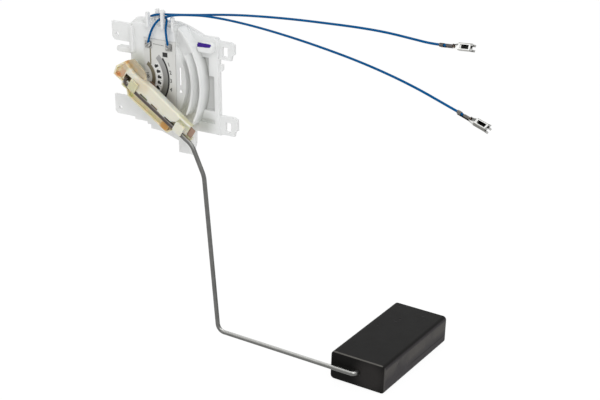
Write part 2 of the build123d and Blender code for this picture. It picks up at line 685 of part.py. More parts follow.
# Arm carrier: the swinging moulding, drawn along the arm at rest
with BuildPart() as arm_carrier:
    # Base plate with the hub disc and the lower flange
    with BuildSketch(along_arm(BASE_H)):
        with BuildLine():
            Polyline(
                (-11.5, END_V),
                (-12.3, -1.6),
                (-9.1, 4.4),
                (-6.1, 7.8),
                (-2.5, 7.6),
                (1.5, 7.2),
                (7.0, 3.3),
                (14.0, COVER_V),
                (ARM_LENGTH, COVER_END_V),
                (ARM_LENGTH, -3.9),
                (ARM_LENGTH + 3.7, -3.9),
                (ARM_LENGTH + 3.7, -5.6),
                (ARM_LENGTH - 2.0, CHANNEL_LEFT),
                (FLANGE_END + 1.6, TAIL_V),
                (FLANGE_END, FLANGE_V),
                (FLANGE_START, FLANGE_V),
                (-1.0, TAIL_V),
                (-4.0, TAIL_V),
                (-4.9, END_V),
                close=True,
            )
        make_face()
        Circle(HUB_R)
    extrude(amount=BASE_T)
    # Front cover over the contact spring
    with BuildSketch(along_arm(BASE_FRONT)):
        with BuildLine():
            Polyline(
                (0.0, COVER_LEFT),
                (0.0, 2.4),
                (7.0, 3.3),
                (14.0, COVER_V),
                (ARM_LENGTH, COVER_END_V),
                (ARM_LENGTH, RIM_V),
                (ARM_LENGTH - 7.3, RIM_V),
                (ARM_LENGTH - 8.3, -1.3),
                (ARM_LENGTH - 11.3, -3.9),
                (COVER_STEP_U, -3.9),
                (COVER_STEP_U, COVER_LEFT),
                close=True,
            )
        make_face()
    extrude(amount=COVER_H - BASE_FRONT)
    cover_edges = arm_carrier.edges().filter_by_position(
        Axis.Y, -COVER_H - 0.01, -COVER_H + 0.01
    )
    cover_right = [
        edge for edge in cover_edges if along_arm(0).to_local_coords(edge @ 0.5).Y > RIM_V + 0.2
        and along_arm(0).to_local_coords(edge @ 0.5).X < ARM_LENGTH - 0.5
    ]
    fillet(cover_right, COVER_ROUND)
    with BuildSketch(along_arm(BASE_FRONT)):
        with BuildLine():
            Polyline(
                (COVER_STEP_U - 0.5, COVER_LEFT + 0.4),
                (COVER_STEP_U - 0.5, RIM_V + 0.2),
                (ARM_LENGTH, RIM_V + 0.2),
                (ARM_LENGTH, COVER_LEFT + 0.4),
                close=True,
            )
        make_face()
    extrude(amount=LOW_COVER_H - BASE_FRONT)
    # Block with the dark socket, and the walls of the open tray beside it
    with BuildSketch(along_arm(BASE_FRONT)):
        with BuildLine():
            Polyline(
                (SOCKET_BLOCK_U, COVER_LEFT),
                (SOCKET_BLOCK_U, 2.6),
                (0.1, 2.4),
                (0.1, COVER_LEFT),
                close=True,
            )
        make_face()
    extrude(amount=TRAY_WALL_H - BASE_FRONT)
    with BuildSketch(along_arm(BASE_FRONT)):
        with BuildLine():
            Polyline(
                (-11.5, END_V),
                (-12.3, -1.6),
                (-9.1, 4.4),
                (0.1, 2.4),
                (0.1, 1.4),
                (-8.5, 3.4),
                (-11.2, -1.9),
                (-10.6, END_V + WALL_T),
                (-4.4, END_V + WALL_T),
                (-3.5, TAIL_V + WALL_T),
                (-0.4, TAIL_V + WALL_T),
                (-0.4, TAIL_V),
                (-4.0, TAIL_V),
                (-4.9, END_V),
                close=True,
            )
        make_face()
    extrude(amount=TRAY_WALL_H - BASE_FRONT)
    # Walls of the flange and of the rod channel
    with BuildSketch(along_arm(BASE_FRONT)):
        with BuildLine():
            Polyline(
                (-1.0, TAIL_V),
                (FLANGE_START, FLANGE_V),
                (FLANGE_END, FLANGE_V),
                (FLANGE_END + 1.6, TAIL_V),
                (FLANGE_END + 0.6, TAIL_V),
                (FLANGE_END - 0.7, FLANGE_V + WALL_T),
                (FLANGE_START + 0.5, FLANGE_V + WALL_T),
                (-0.1, TAIL_V + 0.2),
                close=True,
            )
        make_face()
    extrude(amount=FLANGE_WALL_H - BASE_FRONT)
    with BuildSketch(along_arm(BASE_FRONT)):
        with Locations(((FLANGE_END - 0.5) / 2, CHANNEL_LEFT - WALL_T / 2)):
            Rectangle(FLANGE_END + 0.5, WALL_T)
    extrude(amount=CHANNEL_WALL_H - BASE_FRONT)
    with BuildSketch(along_arm(BASE_FRONT)):
        with Locations(((LUMP_U[0] + LUMP_U[1]) / 2, (FLANGE_V + CHANNEL_LEFT) / 2)):
            Rectangle(LUMP_U[1] - LUMP_U[0], CHANNEL_LEFT - FLANGE_V - 0.4)
    extrude(amount=FLANGE_WALL_H - BASE_FRONT)
    # Cradles that carry the rod
    with BuildSketch(along_arm(BASE_FRONT)):
        for cradle_u in (*CRADLES_U, LAST_CRADLE_U):
            with Locations((cradle_u + CRADLE_L / 2, ROD_V)):
                Rectangle(CRADLE_L, COVER_LEFT - CHANNEL_LEFT + 0.4)
    extrude(amount=CRADLE_T)
    # Clips hooked over the rod
    for clip_u in (UPPER_CLIP_U, LOWER_CLIP_U):
        with BuildSketch(along_arm(CLIP_H)):
            with Locations(((clip_u[0] + clip_u[1]) / 2, (CLIP_ROOT_V + CLIP_TIP_V) / 2)):
                RectangleRounded(clip_u[1] - clip_u[0], CLIP_ROOT_V - CLIP_TIP_V, 0.6)
        extrude(amount=CLIP_T)
    clip_fronts = arm_carrier.faces().filter_by_position(
        Axis.Y, -CLIP_H - CLIP_T - 0.01, -CLIP_H - CLIP_T + 0.01
    )
    fillet(clip_fronts.edges(), CLIP_ROUND)
    for clip_u in (UPPER_CLIP_U, LOWER_CLIP_U):
        with BuildSketch(along_arm(BASE_FRONT)):
            with Locations(((clip_u[0] + clip_u[1]) / 2, (CLIP_ROOT_V + COVER_LEFT) / 2)):
                Rectangle(clip_u[1] - clip_u[0] - 1.2, CLIP_ROOT_V - COVER_LEFT - 0.6)
        extrude(amount=CLIP_H - BASE_FRONT + CLIP_T / 2)
    # Hub shoulder, shaft, split snap head and the lug that meets the stops
    with BuildSketch(front(PLATFORM_H + SHOULDER_GAP)):
        Circle(SHOULDER_R)
    extrude(amount=BASE_H - PLATFORM_H)
    with BuildSketch(front(SNAP_H)):
        Circle(SHAFT_R)
    extrude(amount=BASE_H - SNAP_H)
    with BuildSketch(front(SNAP_H)):
        Circle(SNAP_R)
    extrude(amount=SNAP_T, taper=12)
    with BuildSketch(front(LUG_H)):
        with BuildLine():
            lug_start = LUG_MIDDLE - LUG_SPAN / 2
            lug_inside = CenterArc((0, 0), STOP_BLOCK[0], lug_start, LUG_SPAN)
            lug_outside = CenterArc((0, 0), STOP_BLOCK[1], lug_start, LUG_SPAN)
            Line(lug_inside @ 0, lug_outside @ 0)
            Line(lug_inside @ 1, lug_outside @ 1)
        make_face()
    extrude(amount=BASE_H - LUG_H)
    # Hollow of the shaft and the slot that lets its head spring in
    with BuildSketch(front(0)):
        Circle(SHAFT_BORE_R)
    extrude(amount=SHAFT_BORE_H, mode=Mode.SUBTRACT)
    with BuildSketch(front(0)):
        Rectangle(2 * SNAP_R + 1.0, SHAFT_SLOT_W)
    extrude(amount=SHAFT_SLOT_H, mode=Mode.SUBTRACT)
    # Cavity for the contact spring, open at the lower end
    with BuildSketch(along_arm(BASE_FRONT)):
        with BuildLine():
            Polyline(
                (SOCKET_U[0], SOCKET_V[0]),
                (SOCKET_U[0], SPRING_V[1] + 0.2),
                (3.0, SPRING_V[1] + 0.2),
                (3.0, CAVITY_V),
                (28.0, CAVITY_V),
                (28.0, SPRING_V[1] + 0.2),
                (ARM_LENGTH, SPRING_V[1] + 0.2),
                (ARM_LENGTH, SOCKET_V[0]),
                close=True,
            )
        make_face()
    extrude(amount=LOW_COVER_H - BASE_FRONT - 0.6, mode=Mode.SUBTRACT)
    # Socket beside the rod, openings for the fingers, notches by the channel
    with BuildSketch(along_arm(BASE_FRONT)):
        with Locations((sum(SOCKET_U) / 2, sum(SOCKET_V) / 2)):
            Rectangle(SOCKET_U[1] - SOCKET_U[0], SOCKET_V[1] - SOCKET_V[0])
    extrude(amount=COVER_H - BASE_FRONT, mode=Mode.SUBTRACT)
    with BuildSketch(along_arm(BASE_H)):
        with Locations((sum(FINGER_WINDOW_U) / 2, 0)):
            Rectangle(FINGER_WINDOW_U[1] - FINGER_WINDOW_U[0], 2 * FINGER_WINDOW_V)
    extrude(amount=BASE_T, mode=Mode.SUBTRACT)
    for notch_start, notch_end in EDGE_NOTCHES:
        with BuildSketch(along_arm(NOTCH_H)):
            with Locations(((notch_start + notch_end) / 2, COVER_LEFT)):
                Rectangle(notch_end - notch_start, 2 * NOTCH_DEPTH)
        extrude(amount=COVER_H - NOTCH_H, mode=Mode.SUBTRACT)
    # Room for the rod: its channel and the bend into the socket
    with BuildLine() as channel_line:
        FilletPolyline(
            arm_point(ROD_START, ROD_END_V + ROD_SIDE_GAP, ROD_H),
            arm_point(ROD_START, ROD_V, ROD_H),
            arm_point(ARM_LENGTH + 4.0, ROD_V, ROD_H),
            radius=SOCKET_BEND,
        )
    with BuildSketch(Plane(origin=channel_line.line @ 0, z_dir=channel_line.line % 0)):
        Circle(ROD_R + ROD_FIT)
    sweep(mode=Mode.SUBTRACT)
    # Stakes that hold the contact spring
    with BuildSketch(along_arm(BASE_FRONT)):
        for stake_u in STAKES_U:
            with Locations((stake_u, STAKE_V)):
                Circle(STAKE_R)
    extrude(amount=STAKE_T)

arm_carrier.part.label = "arm_carrier"
export_step(arm_carrier.part, "parts/arm_carrier.step")

# Contact spring: one bronze strip with two fingers bent to the rear
with BuildPart() as wiper_spring:
    with BuildSketch(along_arm(BASE_FRONT)):
        with BuildLine():
            Polyline(
                (SPRING_START, SPRING_V[0]),
                (SPRING_START, SPRING_V[1]),
                (SPRING_WIDE_U[0], SPRING_V[1]),
                (SPRING_WIDE_U[0], SPRING_WIDE_V),
                (SPRING_WIDE_U[1], SPRING_WIDE_V),
                (SPRING_WIDE_U[1], SPRING_V[1]),
                (SPRING_TIP, TONGUE_V[1]),
                (SPRING_TIP, TONGUE_V[0]),
                (ARM_LENGTH + 0.2, TONGUE_V[0]),
                (ARM_LENGTH + 0.2, SPRING_V[0]),
                close=True,
            )
        make_face()
        with Locations(((FINGER_WINDOW_U[0] + FINGER_ROOT) / 2, 0)):
            Rectangle(
                FINGER_ROOT - FINGER_WINDOW_U[0],
                2 * FINGER_V + FINGER_W + 0.5,
                mode=Mode.SUBTRACT,
            )
        for stake_u in STAKES_U:
            with Locations((stake_u, STAKE_V)):
                Circle(STAKE_R + RUNNING_FIT, mode=Mode.SUBTRACT)
    extrude(amount=SPRING_T)
    for finger_u, finger_v in ((INNER_FINGER_U, FINGER_V), (OUTER_FINGER_U, -FINGER_V)):
        across = along_arm(0).y_dir
        finger_low = PRINT_FRONT + BUTTON_GAP + FINGER_LIFT
        with BuildSketch(
            Plane(origin=arm_point(0, finger_v, 0), x_dir=along_arm(0).x_dir, z_dir=-across)
        ):
            with BuildLine():
                Polyline(
                    (FINGER_ROOT + 0.1, BASE_FRONT),
                    (FINGER_ROOT - FINGER_HEEL, BASE_FRONT),
                    (finger_u + FINGER_FLAT, finger_low),
                    (finger_u - FINGER_FLAT, finger_low),
                    (finger_u - FINGER_TOE, finger_low + FINGER_TOE_RISE),
                    (finger_u - FINGER_TOE, finger_low + FINGER_TOE_RISE + SPRING_T),
                    (finger_u - FINGER_FLAT, finger_low + SPRING_T),
                    (finger_u + FINGER_FLAT, finger_low + SPRING_T),
                    (FINGER_ROOT - FINGER_HEEL, BASE_FRONT + SPRING_T),
                    (FINGER_ROOT + 0.1, BASE_FRONT + SPRING_T),
                    close=True,
                )
            make_face()
        extrude(amount=FINGER_W / 2, both=True)

wiper_spring.part.label = "wiper_spring"
export_step(wiper_spring.part, "parts/wiper_spring.step")

# Contact buttons under the two fingers
with BuildPart() as wiper_buttons:
    with BuildSketch(along_arm(PRINT_FRONT + BUTTON_GAP)):
        with Locations((INNER_FINGER_U, FINGER_V), (OUTER_FINGER_U, -FINGER_V)):
            Circle(BUTTON_R)
    extrude(amount=FINGER_LIFT)

wiper_buttons.part.label = "wiper_buttons"
export_step(wiper_buttons.part, "parts/wiper_buttons.step")

# Float rod: bent wire with a collar rolled up near its far end
pin_end_y = PIN_LENGTH - FLOAT_FRONT_H
rod_channel = arm_point(ROD_START, ROD_V, ROD_H)
rod_root = arm_point(ROD_START, ROD_END_V, ROD_H)
with BuildPart() as float_rod:
    with BuildLine() as rod_line:
        FilletPolyline(
            rod_root,
            rod_channel,
            (NECK[0], -ROD_H, NECK[1]),
            (KNEE[0], -ROD_H, KNEE[1]),
            (CORNER[0], -ROD_H, CORNER[1]),
            (PIN_X, -ROD_H, PIN_Z),
            (PIN_X, pin_end_y, PIN_Z),
            radius=[SOCKET_BEND, NECK_BEND, KNEE_BEND, CORNER_BEND, EYE_BEND],
        )
    with BuildSketch(Plane(origin=rod_line.line @ 0, z_dir=rod_line.line % 0)):
        Circle(ROD_R)
    sweep()
    with BuildSketch(front(COLLAR_FROM_END - pin_end_y)):
        with Locations((PIN_X, PIN_Z)):
            Circle(COLLAR_R)
    extrude(amount=COLLAR_T)

float_rod.part.label = "float_rod"
export_step(float_rod.part, "parts/float_rod.step")

# Float: a block of foam with a blind bore and a chamber for the collar
tilt = math.radians(FLOAT_TILT)
float_face = Plane(
    origin=(PIN_X, -FLOAT_FRONT_H, PIN_Z),
    x_dir=(math.cos(tilt), 0, math.sin(tilt)),
    z_dir=(0, -1, 0),
)
with BuildPart() as foam_float:
    with BuildSketch(float_face):
        with Locations(FLOAT_SHIFT):
            Rectangle(FLOAT_W, FLOAT_HEIGHT)
    extrude(amount=-FLOAT_L)
    fillet(foam_float.edges().filter_by(Axis.Y), FLOAT_EDGE_R)
    fillet(foam_float.faces().filter_by(Axis.Y).edges(), FLOAT_END_R)
    with BuildSketch(float_face):
        Circle(ROD_R + RUNNING_FIT)
    extrude(amount=-BORE_DEPTH, mode=Mode.SUBTRACT)
    with BuildSketch(front(COLLAR_FROM_END - COLLAR_PLAY - pin_end_y)):
        with Locations((PIN_X, PIN_Z)):
            Circle(COLLAR_R + RUNNING_FIT)
    extrude(amount=COLLAR_T + 2 * COLLAR_PLAY, mode=Mode.SUBTRACT)

foam_float.part.label = "foam_float"
export_step(foam_float.part, "parts/foam_float.step")

# The two leads, each with its solder, blue wire, bare core and terminal
for name, route, pad, facing in LEADS:
    first_run = Vector(route[1]) - Vector(route[0])
    last_run = (Vector(route[-1]) - Vector(route[-2])).normalized()
    crimp = Vector(route[-1]) - last_run * SKIN_END
    radii = bend_radii(route)
    print(name, "bend radii", [round(r, 1) for r in radii])

    with BuildPart() as solder:
        with BuildSketch(front(PRINT_FRONT)):
            with Locations(pad):
                RectangleRounded(SOLDER_W, SOLDER_L, SOLDER_ROUND)
        extrude(amount=SOLDER_T)
        fillet(solder.faces().sort_by(Axis.Y)[0].edges(), SOLDER_SAG)
        with BuildSketch(Plane(origin=route[0], z_dir=first_run)):
            Circle(WIRE_R)
        extrude(amount=first_run.length, mode=Mode.SUBTRACT)
    solder.part.label = f"{name}_solder"
    export_step(solder.part, f"parts/{name}_solder.step")

    with BuildPart() as wire:
        with BuildLine() as wire_line:
            FilletPolyline(*route, radius=radii)
        with BuildSketch(Plane(origin=wire_line.line @ 0, z_dir=wire_line.line % 0)):
            Circle(WIRE_R)
        sweep()
    length = sum(edge.length for edge in wire_line.line.edges())
    ratio = wire.part.volume / (math.pi * WIRE_R**2 * length)
    print(name, "wire length", round(length, 1), "volume ratio", round(ratio, 4))
    wire.part.label = f"{name}_wire"
    export_step(wire.part, f"parts/{name}_wire.step")

    with BuildPart() as core:
        with BuildSketch(Plane(origin=route[-1], z_dir=last_run)):
            Circle(CORE_R)
        extrude(amount=CORE_CRIMP[1] + 0.4 - SKIN_END)
    core.part.label = f"{name}_core"
    export_step(core.part, f"parts/{name}_core.step")

    # Terminal plane: x runs along the terminal and z out of its open side
    side = Vector(facing).cross(last_run)
    flat = Plane(origin=crimp, x_dir=last_run, z_dir=last_run.cross(side))
    strip_z = -WIRE_R - CRIMP_WALL
    with BuildPart() as terminal:
        for (start, end), bore in ((SKIN_CRIMP, WIRE_R), (CORE_CRIMP, CORE_R)):
            with BuildSketch(Plane(origin=crimp + last_run * start, z_dir=last_run)):
                Circle(bore + CRIMP_FIT + CRIMP_WALL)
                Circle(bore + CRIMP_FIT, mode=Mode.SUBTRACT)
            extrude(amount=end - start)
        # Strip that joins the crimps, widening to the floor of the box
        with BuildSketch(flat.offset(strip_z)):
            with BuildLine():
                Polyline(
                    (SKIN_CRIMP[0] + 0.3, -STRIP_W / 2),
                    (CORE_CRIMP[1], -STRIP_W / 2),
                    (NECK_END, -BOX_W / 2),
                    (BOX_END, -BOX_W / 2),
                    (BOX_END, BOX_W / 2),
                    (NECK_END, BOX_W / 2),
                    (CORE_CRIMP[1], STRIP_W / 2),
                    (SKIN_CRIMP[0] + 0.3, STRIP_W / 2),
                    close=True,
                )
            make_face()
        extrude(amount=METAL_T)
        # Cheeks of the neck
        for cheek in (-1, 1):
            with BuildSketch(flat.offset(strip_z)):
                with BuildLine():
                    Polyline(
                        (CORE_CRIMP[1] - 0.1, cheek * STRIP_W / 2),
                        (NECK_END, cheek * BOX_W / 2),
                        (NECK_END, cheek * (BOX_W / 2 - METAL_T)),
                        (CORE_CRIMP[1] + 0.1, cheek * (STRIP_W / 2 - METAL_T)),
                        close=True,
                    )
                make_face()
            extrude(amount=1.5)
        # Box, hollow from end to end, with a window in its front
        box_start = flat.from_local_coords(Vector(NECK_END, 0, strip_z))
        with BuildSketch(Plane(origin=box_start, x_dir=flat.y_dir, z_dir=last_run)):
            with Locations((0, BOX_T / 2)):
                Rectangle(BOX_W, BOX_T)
                Rectangle(BOX_W - 2 * METAL_T, BOX_T - 2 * METAL_T, mode=Mode.SUBTRACT)
        extrude(amount=BOX_END - NECK_END)
        with BuildSketch(flat.offset(strip_z + BOX_T - METAL_T)):
            with Locations((sum(BOX_WINDOW) / 2, 0)):
                Rectangle(BOX_WINDOW[1] - BOX_WINDOW[0], BOX_WINDOW_W)
        extrude(amount=METAL_T, mode=Mode.SUBTRACT)
        # Leaf inside the box
        with BuildSketch(Plane(origin=crimp, x_dir=last_run, z_dir=-flat.y_dir)):
            with BuildLine():
                Polyline(
                    (NECK_END + 0.6, strip_z + METAL_T - 0.05),
                    (NECK_END + 3.6, strip_z + METAL_T + LEAF_RISE),
                    (BOX_END - 1.2, strip_z + METAL_T - 0.05),
                    (BOX_END - 2.0, strip_z + METAL_T - 0.05),
                    (NECK_END + 3.6, strip_z + METAL_T + LEAF_RISE - 0.25),
                    (NECK_END + 1.4, strip_z + METAL_T - 0.05),
                    close=True,
                )
            make_face()
        extrude(amount=LEAF_W / 2, both=True)
        # Flared lips at the mouth
        for lip_z, rise in ((strip_z, -LIP_FLARE), (strip_z + BOX_T - METAL_T, LIP_FLARE)):
            for lip_y in (-1, 1):
                lip_origin = flat.from_local_coords(Vector(0, lip_y * (BOX_W - LIP_W) / 2, 0))
                with BuildSketch(Plane(origin=lip_origin, x_dir=last_run, z_dir=-flat.y_dir)):
                    with BuildLine():
                        Polyline(
                            (BOX_END - 0.2, lip_z),
                            (BOX_END + LIP_L, lip_z + rise),
                            (BOX_END + LIP_L, lip_z + rise + METAL_T),
                            (BOX_END - 0.2, lip_z + METAL_T),
                            close=True,
                        )
                    make_face()
                extrude(amount=LIP_W / 2, both=True)
    terminal.part.label = f"{name}_terminal"
    export_step(terminal.part, f"parts/{name}_terminal.step")
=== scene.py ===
# %% [markdown]
# # A fuel level sender
# This lesson dresses a fuel level sender: a natural white plastic housing, a
# ceramic card with printed tracks, an ivory arm on a bent steel rod, a black
# foam float and two blue leads. The solid frame comes first. It fixes every
# size, and nothing of it is moved.

# %% Load the frame
import bpy
import bmesh
import math
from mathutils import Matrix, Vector, noise
from mathutils.bvhtree import BVHTree


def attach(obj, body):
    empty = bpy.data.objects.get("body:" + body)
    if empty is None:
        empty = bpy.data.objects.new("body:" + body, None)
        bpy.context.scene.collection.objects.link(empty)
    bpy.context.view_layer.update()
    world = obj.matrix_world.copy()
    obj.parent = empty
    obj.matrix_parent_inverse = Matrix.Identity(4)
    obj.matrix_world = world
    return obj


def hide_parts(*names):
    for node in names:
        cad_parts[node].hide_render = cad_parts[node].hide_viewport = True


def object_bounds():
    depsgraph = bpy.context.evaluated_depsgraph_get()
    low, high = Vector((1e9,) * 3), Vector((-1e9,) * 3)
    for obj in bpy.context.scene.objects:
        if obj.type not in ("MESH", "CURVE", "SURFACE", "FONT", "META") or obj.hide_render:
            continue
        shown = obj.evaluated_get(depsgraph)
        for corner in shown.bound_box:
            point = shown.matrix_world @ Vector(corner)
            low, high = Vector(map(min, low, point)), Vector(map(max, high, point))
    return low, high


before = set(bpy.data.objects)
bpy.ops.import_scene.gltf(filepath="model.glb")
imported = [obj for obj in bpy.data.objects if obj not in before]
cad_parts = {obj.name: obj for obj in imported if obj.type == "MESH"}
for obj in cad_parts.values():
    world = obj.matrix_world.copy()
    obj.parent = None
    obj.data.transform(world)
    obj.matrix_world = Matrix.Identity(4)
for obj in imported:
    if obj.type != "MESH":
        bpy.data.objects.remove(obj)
cad_box = [list(corner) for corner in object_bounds()]
print("frame nodes:", len(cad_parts))

# %% [markdown]
# ## The camera
# The sender is seen from its front right and a little from above, through a
# long lens, so that parallel edges stay nearly parallel. A 90 mm lens on a
# 36 mm wide sensor does that. The camera stands 0.8 m from a point between
# the housing and the float, and its place follows from two angles.

# %% Stand the camera
MM = 0.001
AZIMUTH = math.radians(31.5)
ELEVATION = math.radians(21.2)
CAMERA_DISTANCE = 0.8
LENS_LENGTH = 90
SENSOR_WIDTH = 36


def new_object(name, data):
    """An object that shows the data, linked into the scene."""
    made = bpy.data.objects.new(name, data)
    bpy.context.collection.objects.link(made)
    return made


look_at = Vector((99.577, 0.0, -55.298)) * MM
line_of_sight = Vector((
    -math.sin(AZIMUTH) * math.cos(ELEVATION),
    math.cos(AZIMUTH) * math.cos(ELEVATION),
    -math.sin(ELEVATION),
))
camera = new_object("camera", bpy.data.cameras.new("camera"))
camera.data.lens = LENS_LENGTH
camera.data.sensor_width = SENSOR_WIDTH
camera.data.clip_start = 0.05
camera.location = look_at - CAMERA_DISTANCE * line_of_sight
camera.rotation_euler = line_of_sight.to_track_quat("-Z", "Y").to_euler()
bpy.context.scene.camera = camera
print("camera at", [round(v, 3) for v in camera.location])

# %% [markdown]
# ## Colours
# Paint and plastic colours are easiest to judge as screen values, but the
# shader wants linear light. One small helper turns the first into the second,
# so that each finish below can be written as the eye sees it.


# %% Colours as the eye sees them
def seen(red, green, blue):
    """A screen colour from 0 to 255 as the linear colour a shader wants."""
    linear = []
    for value in (red, green, blue):
        level = value / 255
        if level <= 0.04045:
            linear.append(level / 12.92)
        else:
            linear.append(((level + 0.055) / 1.055) ** 2.4)
    return (*linear, 1.0)


print("mid grey is", [round(c, 3) for c in seen(128, 128, 128)])

# %% [markdown]
# ## Small tools for shader trees
# Every finish below is wired from the same few parts: noise, a ramp between
# two values, one operation on two values, and a bump. Each part gets a helper
# of a few lines, so that a finish reads as what it is made of and not as a
# list of wires. The node "place" holds the piece's own coordinates.


# %% Helpers for noise and ramps
def speckle(tree, scale, detail):
    """Noise in the piece's own coordinates."""
    cloud = tree.nodes.new("ShaderNodeTexNoise")
    cloud.inputs["Scale"].default_value = scale
    cloud.inputs["Detail"].default_value = detail
    tree.links.new(tree.nodes["place"].outputs["Object"], cloud.inputs["Vector"])
    return cloud.outputs["Fac"]


def ramp(tree, value, start, end, smooth=False):
    """Climbs from 0 to 1 while the value goes from start to end."""
    climb = tree.nodes.new("ShaderNodeMapRange")
    if smooth:
        climb.interpolation_type = "SMOOTHSTEP"
    climb.inputs["From Min"].default_value = start
    climb.inputs["From Max"].default_value = end
    tree.links.new(value, climb.inputs["Value"])
    return climb.outputs["Result"]


print("noise and ramp helpers are ready")


# %% Helpers for operations and bumps
def combined(tree, operation, first, second):
    """Two values turned into one; the second may be a plain number."""
    result = tree.nodes.new("ShaderNodeMath")
    result.operation = operation
    tree.links.new(first, result.inputs[0])
    if isinstance(second, float):
        result.inputs[1].default_value = second
    else:
        tree.links.new(second, result.inputs[1])
    return result.outputs["Value"]


def add_bump(tree, height, strength, depth):
    """Lays a bump, its depth in millimetres, over the bump that is there."""
    normal = tree.nodes["Principled BSDF"].inputs["Normal"]
    relief = tree.nodes.new("ShaderNodeBump")
    relief.inputs["Strength"].default_value = strength
    relief.inputs["Distance"].default_value = depth * MM
    tree.links.new(height, relief.inputs["Height"])
    if normal.is_linked:
        tree.links.new(normal.links[0].from_socket, relief.inputs["Normal"])
    tree.links.new(relief.outputs["Normal"], normal)


print("operation and bump helpers are ready")

# %% [markdown]
# ## A finish that isn't flat
# No real surface has one even colour. Each finish here starts from the same
# three things: a slow drift between two near colours, a roughness that drifts
# too, and a fine bump. They could be painted as images, but noise worked out
# from the piece's own coordinates has no seams and no fixed resolution.

# %% A base for every finish
DRIFT_DETAIL = 4
SKIN_DETAIL = 3
SKIN_DEPTH = 0.2


def new_finish(name, low, high, grain=400.0, rough=(0.4, 0.5), bump=0.1, bump_grain=2500.0, **shader):
    """A material whose colour and roughness drift, with a fine bump."""
    finish = bpy.data.materials.new(name)
    finish.use_nodes = True
    tree = finish.node_tree
    surface = tree.nodes["Principled BSDF"]
    tree.nodes.new("ShaderNodeTexCoord").name = "place"
    drift = speckle(tree, grain, DRIFT_DETAIL)
    colour = tree.nodes.new("ShaderNodeMix")
    colour.data_type = "RGBA"
    colour.inputs["A"].default_value = low
    colour.inputs["B"].default_value = high
    tree.links.new(drift, colour.inputs["Factor"])
    tree.links.new(colour.outputs["Result"], surface.inputs["Base Color"])
    gloss = tree.nodes.new("ShaderNodeMapRange")
    gloss.inputs["To Min"].default_value = rough[0]
    gloss.inputs["To Max"].default_value = rough[1]
    tree.links.new(drift, gloss.inputs["Value"])
    tree.links.new(gloss.outputs["Result"], surface.inputs["Roughness"])
    add_bump(tree, speckle(tree, bump_grain, SKIN_DETAIL), bump, SKIN_DEPTH)
    for socket, value in shader.items():
        surface.inputs[socket.replace("_", " ")].default_value = value
    return finish


def dress(node, finish):
    """Gives a frame node its finish."""
    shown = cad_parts[node]
    shown.data.materials.clear()
    shown.data.materials.append(finish)
    print(node, "wears", finish.name)


print("finish helper is ready")

# %% [markdown]
# ## The two blue leads
# Each lead is a stranded wire in a blue skin. It leaves its solder joint, goes
# up between the posts of the comb, and hangs out to the right in one slow
# curve. A curve object with a round bevel is the natural tool: the route's
# points, in millimetres, become the control points of one smooth spline.

# %% Route of the upper lead
UPPER_ROUTE = (
    (19.9, -6.0, 18.6),
    (19.2, -6.3, 24.0),
    (18.9, -6.3, 29.2),
    (19.7, -6.0, 32.9),
    (16.4, -1.9, 33.5),
    (12.0, -1.2, 33.9),
    (7.5, -1.25, 33.6),
    (7.5, -4.6, 33.9),
    (11.8, -4.6, 35.4),
    (17.0, -4.6, 36.2),
    (25.5, -4.8, 37.1),
    (39.0, -6.1, 39.0),
    (54.2, -7.7, 41.5),
    (69.1, -9.3, 43.6),
    (86.5, -11.1, 45.4),
    (105.4, -13.3, 47.0),
    (124.0, -15.4, 48.1),
    (142.2, -17.5, 49.1),
    (159.8, -19.7, 49.5),
    (176.0, -21.6, 48.7),
    (186.4, -23.05, 48.25),
    (193.8, -23.9, 48.85),
)
print("upper route points:", len(UPPER_ROUTE))

# %% Route of the lower lead
LOWER_ROUTE = (
    (6.3, -6.0, 18.6),
    (8.0, -6.4, 23.6),
    (10.4, -6.4, 28.6),
    (13.0, -5.9, 32.1),
    (15.7, -4.6, 34.4),
    (18.9, -4.65, 34.95),
    (22.8, -6.8, 36.6),
    (28.2, -7.6, 37.9),
    (36.5, -8.4, 39.1),
    (46.0, -8.9, 40.1),
    (58.5, -9.9, 40.35),
    (72.0, -11.3, 40.1),
    (88.0, -13.4, 39.4),
    (107.1, -16.1, 38.0),
    (126.2, -18.9, 36.1),
    (144.7, -21.6, 33.8),
    (162.9, -24.4, 30.8),
    (180.6, -27.2, 27.0),
    (194.5, -29.4, 23.1),
    (207.7, -31.6, 19.4),
)
print("lower route points:", len(LOWER_ROUTE))

# %% [markdown]
# ## The skin of the leads
# The skin is soft blue plastic. A strong highlight would wash its colour out
# over so thin a wire, so its shine is kept low and the blue stays deep.

# %% Finish of the blue skin
blue_skin = new_finish(
    "blue_skin", seen(0, 72, 122), seen(0, 94, 154), grain=150.0, rough=(0.3, 0.38), bump=0.03,
    Specular_IOR_Level=0.05,
)
print("made", blue_skin.name)

# %% [markdown] ## Running the leads A smooth spline of low order stays close
# to its control points and has no kinks.

# %% Run the leads
WIRE_RADIUS = 0.62 * MM


def run_lead(name, route):
    """One lead as a smooth spline through its route, in place of its solid."""
    line = bpy.data.curves.new(name, "CURVE")
    line.dimensions = "3D"
    spline = line.splines.new("NURBS")
    spline.points.add(len(route) - 1)
    for point, (x, y, z) in zip(spline.points, route):
        point.co = (x * MM, y * MM, z * MM, 1.0)
    spline.order_u = 3
    spline.use_endpoint_u = True
    spline.resolution_u = 8
    line.bevel_depth = WIRE_RADIUS
    line.bevel_resolution = 5
    line.use_fill_caps = True
    line.materials.append(blue_skin)
    lead = new_object(name, line)
    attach(lead, "root")
    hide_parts(f"{name[:5]}_wire")
    return lead


upper_lead = run_lead("upper_lead", UPPER_ROUTE)
lower_lead = run_lead("lower_lead", LOWER_ROUTE)
print("leads:", upper_lead.name, lower_lead.name)
